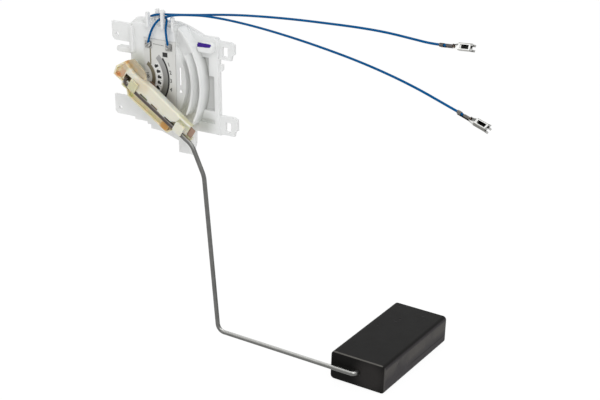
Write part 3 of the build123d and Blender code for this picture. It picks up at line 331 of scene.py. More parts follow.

# %% [markdown]
# ## Where a tint goes
# Painted shade, painted light and spots of colour each have a place on the sender. They could be painted by
# hand, but a mask worked out from the piece's own coordinates can be placed by measure. Each mask below is
# 1 where a second colour goes and 0 elsewhere. All places and sizes are in millimetres.


# %% Masks of simple shapes
def from_place(tree, operation, operand, source="Object", output="Value"):
    """The piece's own coordinates, or its normal, after one operation."""
    step = tree.nodes.new("ShaderNodeVectorMath")
    step.operation = operation
    step.inputs[1].default_value = operand
    tree.links.new(tree.nodes["place"].outputs[source], step.inputs[0])
    return step.outputs[output]


def all_of(tree, *masks):
    """Where every one of the masks is 1."""
    shared = masks[0]
    for mask in masks[1:]:
        shared = combined(tree, "MULTIPLY", shared, mask)
    return shared


def slope_mask(tree, direction, start, end):
    """Climbs from 0 to 1 between two places along a direction."""
    return ramp(tree, from_place(tree, "DOT_PRODUCT", direction), start * MM, end * MM, smooth=True)


def spot_mask(tree, centre, radius, soft):
    """Is 1 at a spot and fades to 0 outside it."""
    away = from_place(tree, "DISTANCE", [v * MM for v in centre])
    return ramp(tree, away, (radius + soft) * MM, radius * MM, smooth=True)


print("slope and spot masks are ready")


# %% Masks of boxes and rings
def box_mask(tree, low, high, soft=0.6):
    """Is 1 inside a box; a side that is None stays open."""
    split = tree.nodes.new("ShaderNodeSeparateXYZ")
    tree.links.new(tree.nodes["place"].outputs["Object"], split.inputs["Vector"])
    sides = []
    for axis, start, end in zip("XYZ", low, high):
        for side, half in ((start, soft / 2), (end, -soft / 2)):
            if side is not None:
                sides.append(ramp(tree, split.outputs[axis], (side - half) * MM, (side + half) * MM))
    return all_of(tree, *sides)


def ring_mask(tree, inner, outer, soft=0.2):
    """Is 1 between two distances from the pivot's axis."""
    away = tree.nodes.new("ShaderNodeVectorMath")
    away.operation = "LENGTH"
    tree.links.new(from_place(tree, "MULTIPLY", (1, 0, 1), output="Vector"), away.inputs[0])
    sides = []
    for side, half in ((inner, soft / 2), (outer, -soft / 2)):
        sides.append(ramp(tree, away.outputs["Value"], (side - half) * MM, (side + half) * MM))
    return all_of(tree, *sides)


print("box and ring masks are ready")


# %% Lay a second colour over a finish
def tint(finish, mask, colour, amount=1.0):
    """Lays a second colour over a finish where the mask is 1."""
    tree = finish.node_tree
    base = tree.nodes["Principled BSDF"].inputs["Base Color"]
    mix = tree.nodes.new("ShaderNodeMix")
    mix.data_type = "RGBA"
    mix.inputs["B"].default_value = colour
    tree.links.new(combined(tree, "MULTIPLY", mask, amount), mix.inputs["Factor"])
    tree.links.new(base.links[0].from_socket, mix.inputs["A"])
    tree.links.new(mix.outputs["Result"], base)


print("tint helper is ready")

# %% [markdown]
# ## Natural white plastic
# The housing is moulded from uncoloured acetal. It is milky: light goes a little way in and comes out
# again, which softens the edges. Subsurface scattering with a radius of a few millimetres gives that. The
# thin floor of the window looks darker than the thick walls through painted shade, laid on below.

# %% Dress the housing
milky_plastic = new_finish(
    "milky_plastic", seen(232, 233, 232), seen(240, 241, 240), grain=60.0, rough=(0.38, 0.48), bump=0.04,
    Subsurface_Weight=0.35, Subsurface_Scale=0.003, Subsurface_Radius=(1.0, 1.0, 1.0), IOR=1.48,
)
dress("housing", milky_plastic)

# %% [markdown]
# ## Painted shade on the housing
# The window's thin floor, the side of the outer rib and the corners under the arm get less light than the
# rest, so their grey tints are painted shade, placed by measure. A slope from the rear to the front keeps
# all of them off the flat rear.

# %% Paint shade on the window and the outer rib
FRONT_WAY = (0.0, -1.0, 0.0)
tree = milky_plastic.node_tree
front_only = slope_mask(tree, FRONT_WAY, 0.1, 0.6)
# Painted shade on the window's floor and on the outer rib's side.
window_painted_shade = box_mask(tree, (30.0, -1.2, -14.1), (47.5, None, 15.7))
tint(milky_plastic, all_of(tree, front_only, window_painted_shade), seen(196, 197, 195), 0.9)
rib_foot = box_mask(tree, (30.0, -3.5, -20.0), (None, None, 16.5), soft=5.0)
rib_painted_shade = all_of(tree, ring_mask(tree, 42.6, 43.2), front_only, rib_foot)
tint(milky_plastic, rib_painted_shade, seen(176, 177, 174), 0.85)
print("window and rib tinted")

# %% Paint shade in the corners of the housing
# Each spot is painted shade in a corner of the housing.
for centre, radius, soft, colour, amount in (
    ((41.0, -1.0, -20.8), 2.0, 7.0, seen(196, 199, 193), 0.75),
    ((24.0, -3.0, -16.5), 3.0, 12.0, seen(196, 196, 184), 0.8),
    ((-1.0, -3.0, 6.0), 2.0, 9.0, seen(206, 208, 197), 0.8),
    ((27.0, -5.0, 0.0), 8.0, 10.0, seen(214, 215, 213), 0.8),
):
    spot = spot_mask(tree, centre, radius, soft)
    tint(milky_plastic, all_of(tree, spot, front_only), colour, amount)
    print("shade at", centre)

# %% [markdown]
# ## The printed card
# The card is fired ceramic, off-white and slightly shiny, with a soft spot of painted shade. Its tracks are
# thick film inks: a brown conductor and a grey collector, both darker towards their lower ends, and a black
# resistor. Each print is a thin solid of its own, so that its edge catches the light.

# %% Dress the card
card_white = new_finish(
    "card_white", seen(214, 214, 210), seen(222, 222, 219), grain=250.0, rough=(0.35, 0.45), bump=0.05,
    bump_grain=4000.0,
)
# Painted shade: a soft grey spot on the card.
card_painted_shade = spot_mask(card_white.node_tree, (14.0, -5.0, -13.0), 3.0, 14.0)
tint(card_white, card_painted_shade, seen(170, 168, 158), 0.9)
dress("resistor_card", card_white)

# %% Dress the two tracks, darker towards their lower ends
brown_ink = new_finish(
    "brown_ink", seen(116, 110, 90), seen(130, 124, 104), grain=700.0, rough=(0.4, 0.55), bump=0.1,
)
# The track is darker towards its lower end.
lower_track_darker = box_mask(brown_ink.node_tree, (None, None, None), (None, None, 0.5), soft=8.0)
tint(brown_ink, lower_track_darker, seen(84, 72, 56))
dress("ground_track", brown_ink)
grey_ink = new_finish(
    "grey_ink", seen(160, 160, 160), seen(172, 172, 172), grain=700.0, rough=(0.4, 0.55), bump=0.1,
)
# The band is darker towards its lower end.
lower_band_darker = box_mask(grey_ink.node_tree, (None, None, None), (None, None, 4.0), soft=16.0)
tint(grey_ink, lower_band_darker, seen(112, 112, 106))
dress("collector_band", grey_ink)

# %% Dress the black prints and the pads
black_ink = new_finish(
    "black_ink", seen(18, 18, 18), seen(30, 30, 30), grain=900.0, rough=(0.4, 0.5), bump=0.1,
)
dull_silver = new_finish(
    "dull_silver", seen(84, 84, 82), seen(206, 206, 204), grain=900.0, rough=(0.22, 0.4), bump=0.3,
    Metallic=1.0,
)
for node in ("resistor_arc", "contact_marks", "trim_patch"):
    dress(node, black_ink)
for node in ("terminal_pads", "upper_solder", "lower_solder"):
    dress(node, dull_silver)

# %% [markdown]
# ## Directions of the arm
# The arm hangs at an angle across the housing. Its stains and shades are
# easiest to place by how far they lie along the arm, across it, and in front
# of the mounting plane, so three small helpers turn those into masks.

# %% Measure along the arm
ARM_ANGLE = math.radians(33.0)
ALONG_WAY = (math.cos(ARM_ANGLE), 0.0, -math.sin(ARM_ANGLE))
ACROSS_WAY = (math.sin(ARM_ANGLE), 0.0, math.cos(ARM_ANGLE))


def on_arm(along, across, height):
    """A place along and across the arm at rest."""
    x = along * ALONG_WAY[0] + across * ACROSS_WAY[0]
    z = along * ALONG_WAY[2] + across * ACROSS_WAY[2]
    return (x, -height, z)


def arm_patch(tree, along=(), across=(), heights=()):
    """Is 1 in a patch of the arm; each of its sides fades from one place to another."""
    sides = [slope_mask(tree, ALONG_WAY, *fade) for fade in along]
    sides += [slope_mask(tree, ACROSS_WAY, *fade) for fade in across]
    sides += [slope_mask(tree, FRONT_WAY, *fade) for fade in heights]
    return all_of(tree, *sides)


print("arm hangs at", round(math.degrees(ARM_ANGLE), 1), "degrees")

# %% [markdown]
# ## The ivory arm
# The arm carrier is a heat-stabilised plastic that has yellowed. Its cover is opaque cream. The thin
# flange, the tongue and the tail let light through and look yellow-green, and the flange is mottled, which
# takes one more noise. The carrier's deeper faces by the hub get painted shade.

# %% Dress the arm
ivory = new_finish(
    "ivory", seen(230, 226, 207), seen(237, 233, 216), grain=90.0, rough=(0.38, 0.48), bump=0.04,
    Subsurface_Weight=0.5, Subsurface_Scale=0.003, Subsurface_Radius=(1.0, 0.8, 0.5), IOR=1.5,
)
dress("arm_carrier", ivory)

# %% Tint the thin parts of the arm, and paint shade by the hub
tree = ivory.node_tree
flange = arm_patch(tree, across=[(-7.0, -7.8)])
tint(ivory, flange, seen(212, 204, 160), 0.75)
mottle = ramp(tree, speckle(tree, 420.0, 2.0), 0.48, 0.62)
tint(ivory, all_of(tree, flange, mottle), seen(232, 214, 186), 0.8)
tongue = arm_patch(tree, along=[(33.0, 36.5)], heights=[(12.2, 11.6)])
tint(ivory, tongue, seen(220, 216, 180), 0.85)
tail = arm_patch(tree, along=[(-3.8, -5.2)], heights=[(12.9, 12.4)])
tint(ivory, tail, seen(228, 218, 188), 0.85)
# Painted shade on the carrier's deeper faces by the hub.
hub_painted_shade = arm_patch(tree, along=[(9.0, 7.0)], across=[(1.9, 2.6)], heights=[(10.9, 10.3)])
tint(ivory, hub_painted_shade, seen(176, 164, 139), 0.9)
print("flange, tongue, tail and hub tinted")

# %% [markdown]
# ## Spots on the arm
# The arm is amber near its tail and at the lump by the lower clip, with a few paler, pinker and greener
# spots. Each spot is soft: a place along, across and in front, a size, a width to fade over, and a colour.

# %% Lay the spots on the arm
for (along, across, height), radius, soft, colour, amount in (
    ((-9.2, -5.6, 11.0), 0.5, 2.2, seen(212, 146, 84), 0.85),
    ((-9.2, -1.2, 11.2), 0.3, 1.5, seen(206, 156, 100), 0.8),
    ((-8.2, 4.4, 11.2), 0.5, 1.8, seen(212, 166, 108), 0.8),
    ((-5.0, 4.3, 11.2), 0.5, 1.9, seen(205, 172, 118), 0.7),
    ((-1.4, 4.0, 11.2), 0.4, 1.7, seen(206, 170, 116), 0.75),
    ((-8.8, 1.2, 11.2), 0.6, 2.0, seen(232, 206, 188), 0.7),
    ((29.8, -9.6, 11.0), 1.8, 2.2, seen(190, 138, 60), 0.95),
    ((3.7, -9.9, 10.4), 0.5, 1.4, seen(208, 210, 132), 0.7),
    ((-6.8, -3.2, 10.2), 1.4, 2.2, seen(204, 168, 142), 0.85),
    ((7.0, 1.3, 12.8), 2.5, 4.5, seen(222, 208, 184), 0.7),
    ((41.6, -3.2, 11.5), 1.0, 2.5, seen(236, 232, 216), 0.8),
):
    spot = spot_mask(tree, on_arm(along, across, height), radius, soft)
    tint(ivory, spot, colour, amount)
    print("colour spot at", (along, across, height))

# %% [markdown]
# ## Hollows and clips
# Little light reaches the bottom of the three notches and of the rod's socket.
# The two thin clips over the rod are the opposite case: light passes through
# them, and they look greener than the walls beside them.

# %% Shade the notches and the socket
for start, end, colour, amount in (
    (8.5, 14.0, seen(164, 168, 120), 0.85),
    (17.0, 22.0, seen(206, 186, 152), 0.8),
    (26.8, 35.4, seen(96, 92, 58), 0.85),
):
    notch = arm_patch(
        tree,
        along=[(start - 0.2, start + 0.2), (end + 0.2, end - 0.2)],
        across=[(-6.6, -6.4), (-2.3, -2.7)],
        heights=[(12.4, 12.0)],
    )
    tint(ivory, notch, colour, amount)
socket = arm_patch(
    tree, along=[(-5.0, -4.8), (-0.2, -0.4)], across=[(-4.0, -3.8), (-0.5, -0.7)], heights=[(12.1, 11.9)],
)
tint(ivory, socket, seen(118, 108, 78))
print("notches and socket shaded")

# %% Tint the two clips
for start, end in ((-0.3, 5.9), (27.6, 34.6)):
    clip = arm_patch(
        tree,
        along=[(start - 0.1, start + 0.1), (end + 0.1, end - 0.1)],
        across=[(-0.2, -0.4), (-6.6, -6.4)],
        heights=[(12.7, 12.9)],
    )
    tint(ivory, clip, seen(206, 202, 164), 0.85)
    print("clip from", start, "to", end)

# %% [markdown]
# ## Metals
# The spring is phosphor bronze that fuel has turned brown. Its contact buttons
# are bright, and the bare cores of the leads are copper. A metal shows mostly
# what it mirrors, so the metal setting does most of the work, and the drift in
# roughness breaks the mirror up.

# %% Dress the spring, the buttons and the cores
bronze = new_finish(
    "bronze", seen(150, 122, 106), seen(170, 142, 124), grain=500.0, rough=(0.35, 0.5), bump=0.1,
    Metallic=0.7,
)
tinned = new_finish(
    "tinned", seen(158, 158, 156), seen(200, 200, 198), grain=900.0, rough=(0.18, 0.3), bump=0.1,
    Metallic=1.0,
)
copper = new_finish(
    "copper", seen(112, 98, 86), seen(150, 128, 110), grain=1500.0, rough=(0.3, 0.45), bump=0.3,
    Metallic=1.0,
)
dress("wiper_spring", bronze)
dress("wiper_buttons", tinned)
dress("upper_core", copper)
dress("lower_core", copper)

# %% [markdown]
# ## The rod
# The rod is drawn steel: its marks run along the wire, but at this distance they only spread the highlight.
# A bent wire shows a bright line along its top, where it mirrors the white above, and is dark below; here
# that bright line is a painted reflection, and the way that each face points decides which of the two
# colours it gets. Inside the arm's channel the wire gets a brownish painted shade, where the arm covers it.

# %% Dress the rod
drawn_steel = new_finish(
    "drawn_steel", seen(94, 94, 92), seen(120, 120, 118), grain=300.0, rough=(0.28, 0.38), bump=0.12,
    Metallic=1.0,
)
tree = drawn_steel.node_tree
# Painted shade, brownish, on the wire inside the arm's channel.
channel_painted_shade = arm_patch(tree, along=[(-4.5, -4.0), (38.0, 37.0)])
tint(drawn_steel, channel_painted_shade, seen(84, 76, 72), 0.9)
# Painted reflection: a bright line on the faces that point up.
facing_up = from_place(tree, "DOT_PRODUCT", (0.0, 0.0, 1.0), source="Normal")
tint(drawn_steel, ramp(tree, facing_up, 0.45, 0.95, smooth=True), seen(199, 199, 196), 0.85)
dress("float_rod", drawn_steel)

# %% [markdown]
# ## The terminals
# A terminal is stamped from tinned sheet: a crimp that grips the lead, and a box that is folded to a close.
# The crimp gets painted shade, the two folds of the box get dark lines of painted shade, and its inside is
# painted nearly black as shade. Each terminal points its own way, so its shades are measured from the end
# of its own lead.


# %% Measure from the end of a lead
def band(tree, end, direction, low, high, soft=0.08):
    """Is 1 between two places along a direction, measured from a lead's end."""
    middle = end.dot(direction)
    start = slope_mask(tree, direction, middle + low - soft, middle + low + soft)
    stop = slope_mask(tree, direction, middle + high + soft, middle + high - soft)
    return all_of(tree, start, stop)


print("the upper lead ends at", UPPER_ROUTE[-1], "and the lower at", LOWER_ROUTE[-1])

# %% Paint shade on the terminals
CRIMP = (-4.0, 4.6)
FOLD = (7.0, 14.5)
FOLD_OFFSET = 1.7
FOLD_HALF_WIDTH = 0.28
BOX_INSIDE = (7.8, 15.0)


def dress_terminal(name, route, open_side, crimp_painted_shade):
    """Tinned sheet with painted shade on its crimp, its folds and its inside."""
    end = Vector(route[-1])
    ahead = (end - Vector(route[-2])).normalized()
    across = open_side.cross(ahead).normalized()
    outward = ahead.cross(across)
    tin = tinned.copy()
    tin.name = f"tin_{name[:5]}"
    tree = tin.node_tree
    # Painted shade on the crimp.
    tint(tin, band(tree, end, ahead, *CRIMP), crimp_painted_shade, 0.9)
    # Painted shade: a dark line along each fold of the box.
    for offset in (-FOLD_OFFSET, FOLD_OFFSET):
        stripe = band(tree, end, across, offset - FOLD_HALF_WIDTH, offset + FOLD_HALF_WIDTH)
        tint(tin, all_of(tree, band(tree, end, ahead, *FOLD), stripe), seen(96, 95, 88), 0.8)
    # Painted shade: the inside of the box is nearly black.
    inside = all_of(
        tree,
        band(tree, end, ahead, *BOX_INSIDE),
        band(tree, end, across, -1.5, 1.5),
        band(tree, end, outward, -0.75, 0.75),
    )
    tint(tin, inside, seen(34, 34, 32))
    dress(name, tin)


dress_terminal("upper_terminal", UPPER_ROUTE, Vector((0.3, -0.85, 0.42)), seen(62, 58, 57))
dress_terminal("lower_terminal", LOWER_ROUTE, Vector((0.45, -0.55, 0.7)), seen(88, 86, 82))

# %% [markdown]
# ## Soft edges
# Moulded plastic has no sharp edges: the mould's corners are never quite
# sharp, and each edge catches a thin line of light. A weld joins the mesh
# along its edges, and a narrow bevel rounds the sharp ones. Modifiers leave
# the frame's own mesh as it is.

# %% Round the moulded edges
EDGE_WIDTH = 0.14 * MM
SHARP_FROM = math.radians(40)

for node in ("housing", "arm_carrier"):
    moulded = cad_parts[node]
    weld = moulded.modifiers.new("weld", "WELD")
    weld.merge_threshold = 1e-6
    bevel = moulded.modifiers.new("edge", "BEVEL")
    bevel.width = EDGE_WIDTH
    bevel.segments = 2
    bevel.limit_method = "ANGLE"
    bevel.angle_limit = SHARP_FROM
    bevel.harden_normals = True
    print("soft edges on", node)

# %% [markdown]
# ## The foam float
# The float is closed-cell nitrile foam with a moulded skin: nearly black,
# half dull, with small pits where cells break the skin. Cell noise makes the
# pits: the middle of each of its cells is turned into a dent by the bump.

# %% Dress the float
PIT_GRAIN = 110.0
PIT_DEPTH = 0.4

black_foam = new_finish(
    "black_foam", seen(8, 8, 7), seen(14, 13, 12), grain=160.0, rough=(0.42, 0.55), bump=0.15,
    bump_grain=1400.0, Specular_IOR_Level=0.09,
)
tree = black_foam.node_tree
cells = tree.nodes.new("ShaderNodeTexVoronoi")
cells.inputs["Scale"].default_value = PIT_GRAIN
tree.links.new(tree.nodes["place"].outputs["Object"], cells.inputs["Vector"])
add_bump(tree, ramp(tree, cells.outputs["Distance"], 0.05, 0.1), 0.35, PIT_DEPTH)
dress("foam_float", black_foam)

# %% [markdown]
# ## Painted light on the float
# The float's right side is painted a lighter grey, as the key lamp lights it, with patchy lighter grey
# along its shoulder. Painted highlights mark its front edges, where light grazes them, and painted light
# lifts the middle of its front. The float hangs tilted by a little over two degrees, so its sides are
# measured in its own directions.

# %% Paint light on the float's side
FLOAT_TILT = math.radians(2.2)
SIDE_WAY = (math.cos(FLOAT_TILT), 0.0, -math.sin(FLOAT_TILT))
TOP_WAY = (math.sin(FLOAT_TILT), 0.0, math.cos(FLOAT_TILT))

# Painted light: the right side is a lighter grey, as the key lamp lights it.
side = slope_mask(tree, SIDE_WAY, 162.2, 162.9)
tint(black_foam, side, seen(53, 50, 52), 0.9)
# Patchy lighter grey along the shoulder of the side.
above_seam = slope_mask(tree, TOP_WAY, -140.0, -136.0)
below_top = slope_mask(tree, TOP_WAY, -131.0, -132.5)
shoulder_patches = ramp(tree, speckle(tree, 55.0, 2.0), 0.36, 0.6)
tint(black_foam, all_of(tree, side, above_seam, below_top, shoulder_patches), seen(74, 71, 68), 0.9)
seam_foot = slope_mask(tree, TOP_WAY, -141.2, -140.9)
seam_head = slope_mask(tree, TOP_WAY, -140.2, -140.5)
to_the_rear = slope_mask(tree, FRONT_WAY, -14.0, -26.0)
tint(black_foam, all_of(tree, side, seam_foot, seam_head, to_the_rear), seen(18, 16, 16), 0.85)
print("side painted lighter")

# %% Paint light on the float's front and edges
# Painted light in the middle of the front face.
front_face = slope_mask(tree, FRONT_WAY, 8.4, 8.5)
front_painted_light = all_of(tree, front_face, spot_mask(tree, (148.5, -8.6, -144.0), 4.0, 9.0))
tint(black_foam, front_painted_light, seen(44, 42, 41), 0.9)
# Painted highlights along the front edges of the top and of the side.
front_lip = slope_mask(tree, FRONT_WAY, 7.8, 8.3)
left_of_round = slope_mask(tree, SIDE_WAY, 161.8, 160.8)
right_of_round = slope_mask(tree, SIDE_WAY, 130.3, 131.5)
top_edge = slope_mask(tree, TOP_WAY, -130.2, -129.8)
top_painted_highlight = all_of(tree, front_lip, right_of_round, left_of_round, top_edge)
tint(black_foam, top_painted_highlight, seen(104, 102, 98), 0.9)
tint(black_foam, all_of(tree, front_lip, side), seen(84, 82, 80), 0.75)
print("edges lightened")

# %% [markdown]
# ## Small prints on the card
# Between the pads runs a row of tiny dots, and beside the resistor stand plain
# numbers, as on a dial. Each contact mark has a pale rim, where the ink has
# been trimmed off the ceramic. They are thin flat pieces just in front of the
# card: cheaper than a picture, and sharp from any distance.


# %% Helpers for flat pieces
def mesh_of(name, shape, smooth=False):
    """The mesh of a shape that was built point by point."""
    mesh = bpy.data.meshes.new(name)
    shape.to_mesh(mesh)
    shape.free()
    for face in mesh.polygons:
        face.use_smooth = smooth
    return mesh


def flat_piece(name, outlines, height, finish):
    """Thin faces parallel to the mounting plane; outlines are in X and Z."""
    shape = bmesh.new()
    for outline in outlines:
        corners = [shape.verts.new((x * MM, -height * MM, z * MM)) for x, z in outline]
        shape.faces.new(corners)
    bmesh.ops.recalc_face_normals(shape, faces=shape.faces)
    for face in shape.faces:
        if face.normal.y > 0:
            face.normal_flip()
    piece = new_object(name, mesh_of(name, shape))
    piece.data.materials.append(finish)
    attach(piece, "root")
    return piece


print("flat piece helper is ready")


# %% A rectangle turned about its centre
def turned_box(centre, half_length, half_width, turn):
    """The corners of a rectangle turned about its centre."""
    cosine, sine = math.cos(turn), math.sin(turn)
    corners = []
    for end, side in ((-1, -1), (1, -1), (1, 1), (-1, 1)):
        out, up = end * half_length, side * half_width
        corners.append((centre[0] + cosine * out - sine * up, centre[1] + sine * out + cosine * up))
    return corners


print("corners of a turned square:", turned_box((0.0, 0.0), 1.0, 1.0, math.radians(90)))

# %% Rim the contact marks
CARD_FRONT = 5.0
PRINT_LIFT = 0.03
PRINT_HEIGHT = CARD_FRONT + PRINT_LIFT
MARK_COUNT = 6
MARK_RADIUS = 12.75
FIRST_MARK = 31.0
MARK_STEP = 14.2
RIM_HALF_LENGTH = 1.85
RIM_HALF_WIDTH = 1.35

rims = []
for step in range(MARK_COUNT):
    angle = math.radians(FIRST_MARK - MARK_STEP * step)
    centre = (MARK_RADIUS * math.cos(angle), MARK_RADIUS * math.sin(angle))
    rims.append(turned_box(centre, RIM_HALF_LENGTH, RIM_HALF_WIDTH, angle))
rim_white = new_finish("rim_white", seen(232, 232, 230), seen(240, 240, 238), grain=500.0, rough=(0.4, 0.5))
mark_rims = flat_piece("mark_rims", rims, PRINT_HEIGHT, rim_white)
print("rims:", len(rims))

# %% Print the row of dots
DOT_COUNT = 12
ROW_START = (9.4, 18.95)
ROW_RUN = (6.6, -0.25)
DOT_WIDTH = 0.26
WIDE_DOT_WIDTH = 0.34
DOT_HALF_HEIGHT = 0.26

dots = []
for step in range(DOT_COUNT):
    share = step / (DOT_COUNT - 1)
    centre = (ROW_START[0] + ROW_RUN[0] * share, ROW_START[1] + ROW_RUN[1] * share)
    width = DOT_WIDTH if step % 3 else WIDE_DOT_WIDTH
    dots.append(turned_box(centre, width / 2, DOT_HALF_HEIGHT, 0.0))
grey_print = new_finish("grey_print", seen(56, 56, 54), seen(92, 92, 90), grain=2000.0, rough=(0.4, 0.5))
print_dots = flat_piece("print_dots", dots, PRINT_HEIGHT, grey_print)
print("dots:", len(dots))

# %% [markdown]
# ## The numbers
# A text object is the plain way to set a number: the font's own outlines
# become faces. A small offset makes the strokes as fat as printed ink. Each
# number is turned to follow the arc that it stands by.

# %% Set the plain numbers
INK_SPREAD = 0.06 * MM

for name, text, x, z, size, turn in (
    ("number_1", "1", 19.3, 8.6, 3.1, 20.0),
    ("number_2", "2", 20.3, 4.2, 3.1, 10.0),
    ("number_3", "3", 20.5, -0.4, 3.1, 0.0),
    ("number_4", "4", 20.3, -5.4, 3.1, -10.0),
    ("number_0", "100", 4.9, 0.9, 2.3, -80.0),
):
    letters = bpy.data.curves.new(name, "FONT")
    letters.body = text
    letters.size = size * MM
    letters.offset = INK_SPREAD
    letters.align_x = "CENTER"
    letters.align_y = "CENTER"
    letters.materials.append(grey_print)
    number = new_object(name, letters)
    number.location = (x * MM, -PRINT_HEIGHT * MM, z * MM)
    number.rotation_euler = (math.radians(90), math.radians(-turn), 0)
    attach(number, "root")
    print("number", text, "at", (x, z))

# %% [markdown]
# ## Solder
# Hand-soldered joints are lumpy: the metal froze while it flowed to the pad's
# corners. A sphere with many faces, squashed flat and pushed about by noise,
# gives that. Each joint takes the place of its plain solid.

# %% Where the solder swells
JOINT_HALF_WIDTH = 1.72
JOINT_HALF_HEIGHT = 1.95
JOINT_BASE = 5.1
JOINT_RISE = 1.75
JOINT_LIMIT = 2.35
CORNER_FLOW = 0.28
LUMP_WIDTH = 0.06
LUMP_HEIGHT = 0.95
FULLNESS = 0.8


def swollen(way, seed):
    """Where a point of the plain sphere goes, measured from the pad's middle."""
    coarse = noise.noise(way * 2.1 + Vector((seed, 0, 0)))
    fine = noise.noise(way * 5.0 + Vector((0, seed, 0)))
    lump = coarse + 0.5 * fine
    square = max(abs(way.x), abs(way.z), 0.001) / math.hypot(way.x, way.z, 0.001)
    spread = (1.0 + CORNER_FLOW * (1.0 - square)) * (1 + LUMP_WIDTH * lump)
    rise = (JOINT_RISE + LUMP_HEIGHT * lump) * max(0.0, -way.y) ** FULLNESS
    return Vector((
        JOINT_HALF_WIDTH * way.x * spread,
        -JOINT_BASE - min(JOINT_LIMIT, rise),
        JOINT_HALF_HEIGHT * way.z * spread,
    ))


print("a joint's front lies at", round(-swollen(Vector((0.0, -1.0, 0.0)), 3.0).y, 2), "mm")


# %% Flow the solder
def solder_joint(name, x, z, seed):
    """A lumpy joint on a pad, in place of the frame's plain one."""
    shape = bmesh.new()
    bmesh.ops.create_icosphere(shape, subdivisions=5, radius=1.0)
    for vertex in shape.verts:
        vertex.co = (Vector((x, 0.0, z)) + swollen(vertex.co, seed)) * MM
    bmesh.ops.remove_doubles(shape, verts=shape.verts, dist=1e-7)
    joint = new_object(name, mesh_of(name, shape, smooth=True))
    joint.data.materials.append(dull_silver)
    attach(joint, "root")
    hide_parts(f"{name[:5]}_solder")
    return joint


for name, x, z, seed in (("upper_joint", 19.8, 18.35, 3.0), ("lower_joint", 6.1, 18.35, 8.0)):
    joint = solder_joint(name, x, z, seed)
    print(joint.name, "faces", len(joint.data.polygons))

# %% [markdown]
# ## The paint mark
# An inspector's purple paint stroke lies on the boss. Paint follows what it is
# put on, so the stroke is a fine grid that is dropped onto the housing, point
# by point, with a ray, and then lifted by a hair.

# %% Shape the stroke
STROKE_START = (38.75, 22.95)
STROKE_LENGTH = 9.1
STROKE_SLANT = 0.15
STROKE_HALF_WIDTH = 1.25
STROKE_TAPER = 0.4
END_SQUARENESS = 14
RAGGEDNESS = 0.08
RAY_START = -20.0
BOSS_FRONT = 5.3
PAINT_LIFT = 0.03

housing_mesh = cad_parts["housing"].data
housing_tree = BVHTree.FromPolygons(
    [v.co.copy() for v in housing_mesh.vertices], [tuple(f.vertices) for f in housing_mesh.polygons]
)


def paint_point(along, across):
    """A point of the stroke: along runs from 0 to 1, across from -1 to 1."""
    end_round = math.sqrt(max(0.0, 1 - (2 * along - 1) ** END_SQUARENESS))
    ragged = 1 + RAGGEDNESS * noise.noise(Vector((along * 9, 0.3, 0)))
    half_width = (STROKE_HALF_WIDTH - STROKE_TAPER * along) * end_round * ragged
    x = STROKE_START[0] + STROKE_LENGTH * along + STROKE_SLANT * across
    z = STROKE_START[1] + STROKE_SLANT * along + across * half_width
    hit = housing_tree.ray_cast(Vector((x, RAY_START, z)) * MM, Vector((0, 1, 0)))[0]
    return (x * MM, min(hit.y, -BOSS_FRONT * MM) - PAINT_LIFT * MM, z * MM)


print("the stroke starts at", [round(v, 4) for v in paint_point(0.0, 0.0)])

# %% Drop the paint on the boss
COLUMNS, ROWS = 40, 10

shape = bmesh.new()
grid = []
for column in range(COLUMNS + 1):
    places = [paint_point(column / COLUMNS, 2 * row / ROWS - 1) for row in range(ROWS + 1)]
    grid.append([shape.verts.new(place) for place in places])
for left, right in zip(grid, grid[1:]):
    for low, high in zip(range(ROWS), range(1, ROWS + 1)):
        shape.faces.new((left[low], right[low], right[high], left[high]))
bmesh.ops.dissolve_degenerate(shape, dist=1e-8, edges=shape.edges)
paint_mark = new_object("paint_mark", mesh_of("paint_mark", shape, smooth=True))
purple_paint = new_finish(
    "purple_paint", seen(50, 8, 112), seen(62, 28, 150), grain=350.0, rough=(0.35, 0.5), bump=0.2,
    Specular_IOR_Level=0.2,
)
paint_mark.data.materials.append(purple_paint)
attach(paint_mark, "root")
print("paint mark faces", len(paint_mark.data.polygons))

# %% [markdown]
# ## Floor and background
# The sender stands before plain white. The floor is white and keeps a faint
# shadow: part of what the camera sees of it is its own plain white, and the
# rest is lit like any surface. The world shows white to the camera and to
# shiny things, and lights the rest at a lower level. Both are the same mix of
# two shaders, steered by the kind of ray that asks.


# %% Mix two shaders by the kind of ray
def mix_by_ray(tree, share, lit, plain, output):
    """Camera, shiny and clear rays see the plain shader by a share."""
    ray = tree.nodes.new("ShaderNodeLightPath")
    seen_ray = ray.outputs["Is Camera Ray"]
    for kind in ("Is Glossy Ray", "Is Transmission Ray"):
        seen_ray = combined(tree, "MAXIMUM", seen_ray, ray.outputs[kind])
    blend = tree.nodes.new("ShaderNodeMixShader")
    tree.links.new(combined(tree, "MULTIPLY", seen_ray, share), blend.inputs["Fac"])
    tree.links.new(lit, blend.inputs[1])
    tree.links.new(plain, blend.inputs[2])
    tree.links.new(blend.outputs["Shader"], tree.nodes[output].inputs["Surface"])


print("ray mix is ready")

# %% Lay the floor
FLOOR_SIZE = 8.0
FLOOR_DROP = 0.5 * MM
PURE_WHITE = (1.0, 1.0, 1.0, 1.0)

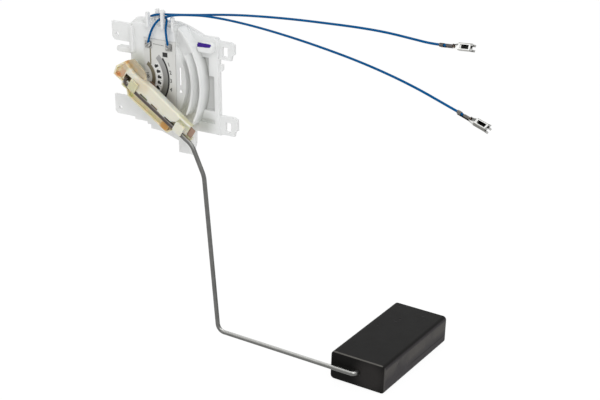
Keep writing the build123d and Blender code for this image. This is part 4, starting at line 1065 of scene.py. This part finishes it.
bpy.ops.mesh.primitive_plane_add(size=FLOOR_SIZE, location=(0.1, 0.5, cad_box[0][2] - FLOOR_DROP))
floor = bpy.context.object
floor.name = "floor"
white_floor = bpy.data.materials.new("white_floor")
white_floor.use_nodes = True
tree = white_floor.node_tree
tree.nodes.remove(tree.nodes["Principled BSDF"])
matte = tree.nodes.new("ShaderNodeBsdfDiffuse")
matte.inputs["Color"].default_value = (0.9, 0.9, 0.9, 1.0)
plain = tree.nodes.new("ShaderNodeEmission")
plain.inputs["Color"].default_value = PURE_WHITE
plain.inputs["Strength"].default_value = 1.06
mix_by_ray(tree, 0.88, matte.outputs["BSDF"], plain.outputs["Emission"], "Material Output")
floor.data.materials.append(white_floor)
print("floor at", round(floor.location.z, 4))

# %% White all round
world = bpy.data.worlds.new("white_room")
bpy.context.scene.world = world
world.use_nodes = True
tree = world.node_tree
room = tree.nodes["Background"]
room.inputs["Color"].default_value = PURE_WHITE
room.inputs["Strength"].default_value = 0.5
white = tree.nodes.new("ShaderNodeBackground")
white.inputs["Color"].default_value = PURE_WHITE
white.inputs["Strength"].default_value = 1.0
mix_by_ray(tree, 1.0, room.outputs["Background"], white.outputs["Background"], "World Output")
print("world set")

# %% [markdown]
# ## Lamps
# Three large soft lamps shape the sender: a key from the front right and
# above, a weaker fill from the left, and one from above and behind that draws
# the top edges. Large lamps give the soft shadows of a photographer's tent.


# %% Hang the lamps
def hang_lamp(name, place, power, size):
    """A square soft lamp that points at the middle of the sender."""
    lamp = new_object(name, bpy.data.lights.new(name, "AREA"))
    lamp.data.energy = power
    lamp.data.size = size
    lamp.location = place
    lamp.rotation_euler = (look_at - lamp.location).to_track_quat("-Z", "Y").to_euler()
    return lamp


for name, place, power, size in (
    ("key_lamp", (0.95, -0.85, 0.95), 8.0, 0.6),
    ("fill_lamp", (-0.9, -0.9, 0.5), 3.0, 0.8),
    ("top_lamp", (0.1, 0.35, 1.2), 3.0, 0.7),
):
    lamp = hang_lamp(name, place, power, size)
    print(lamp.name, "of", power, "watts")
bpy.context.scene.view_settings.view_transform = "Standard"

# %% Finish
print("scene ready")
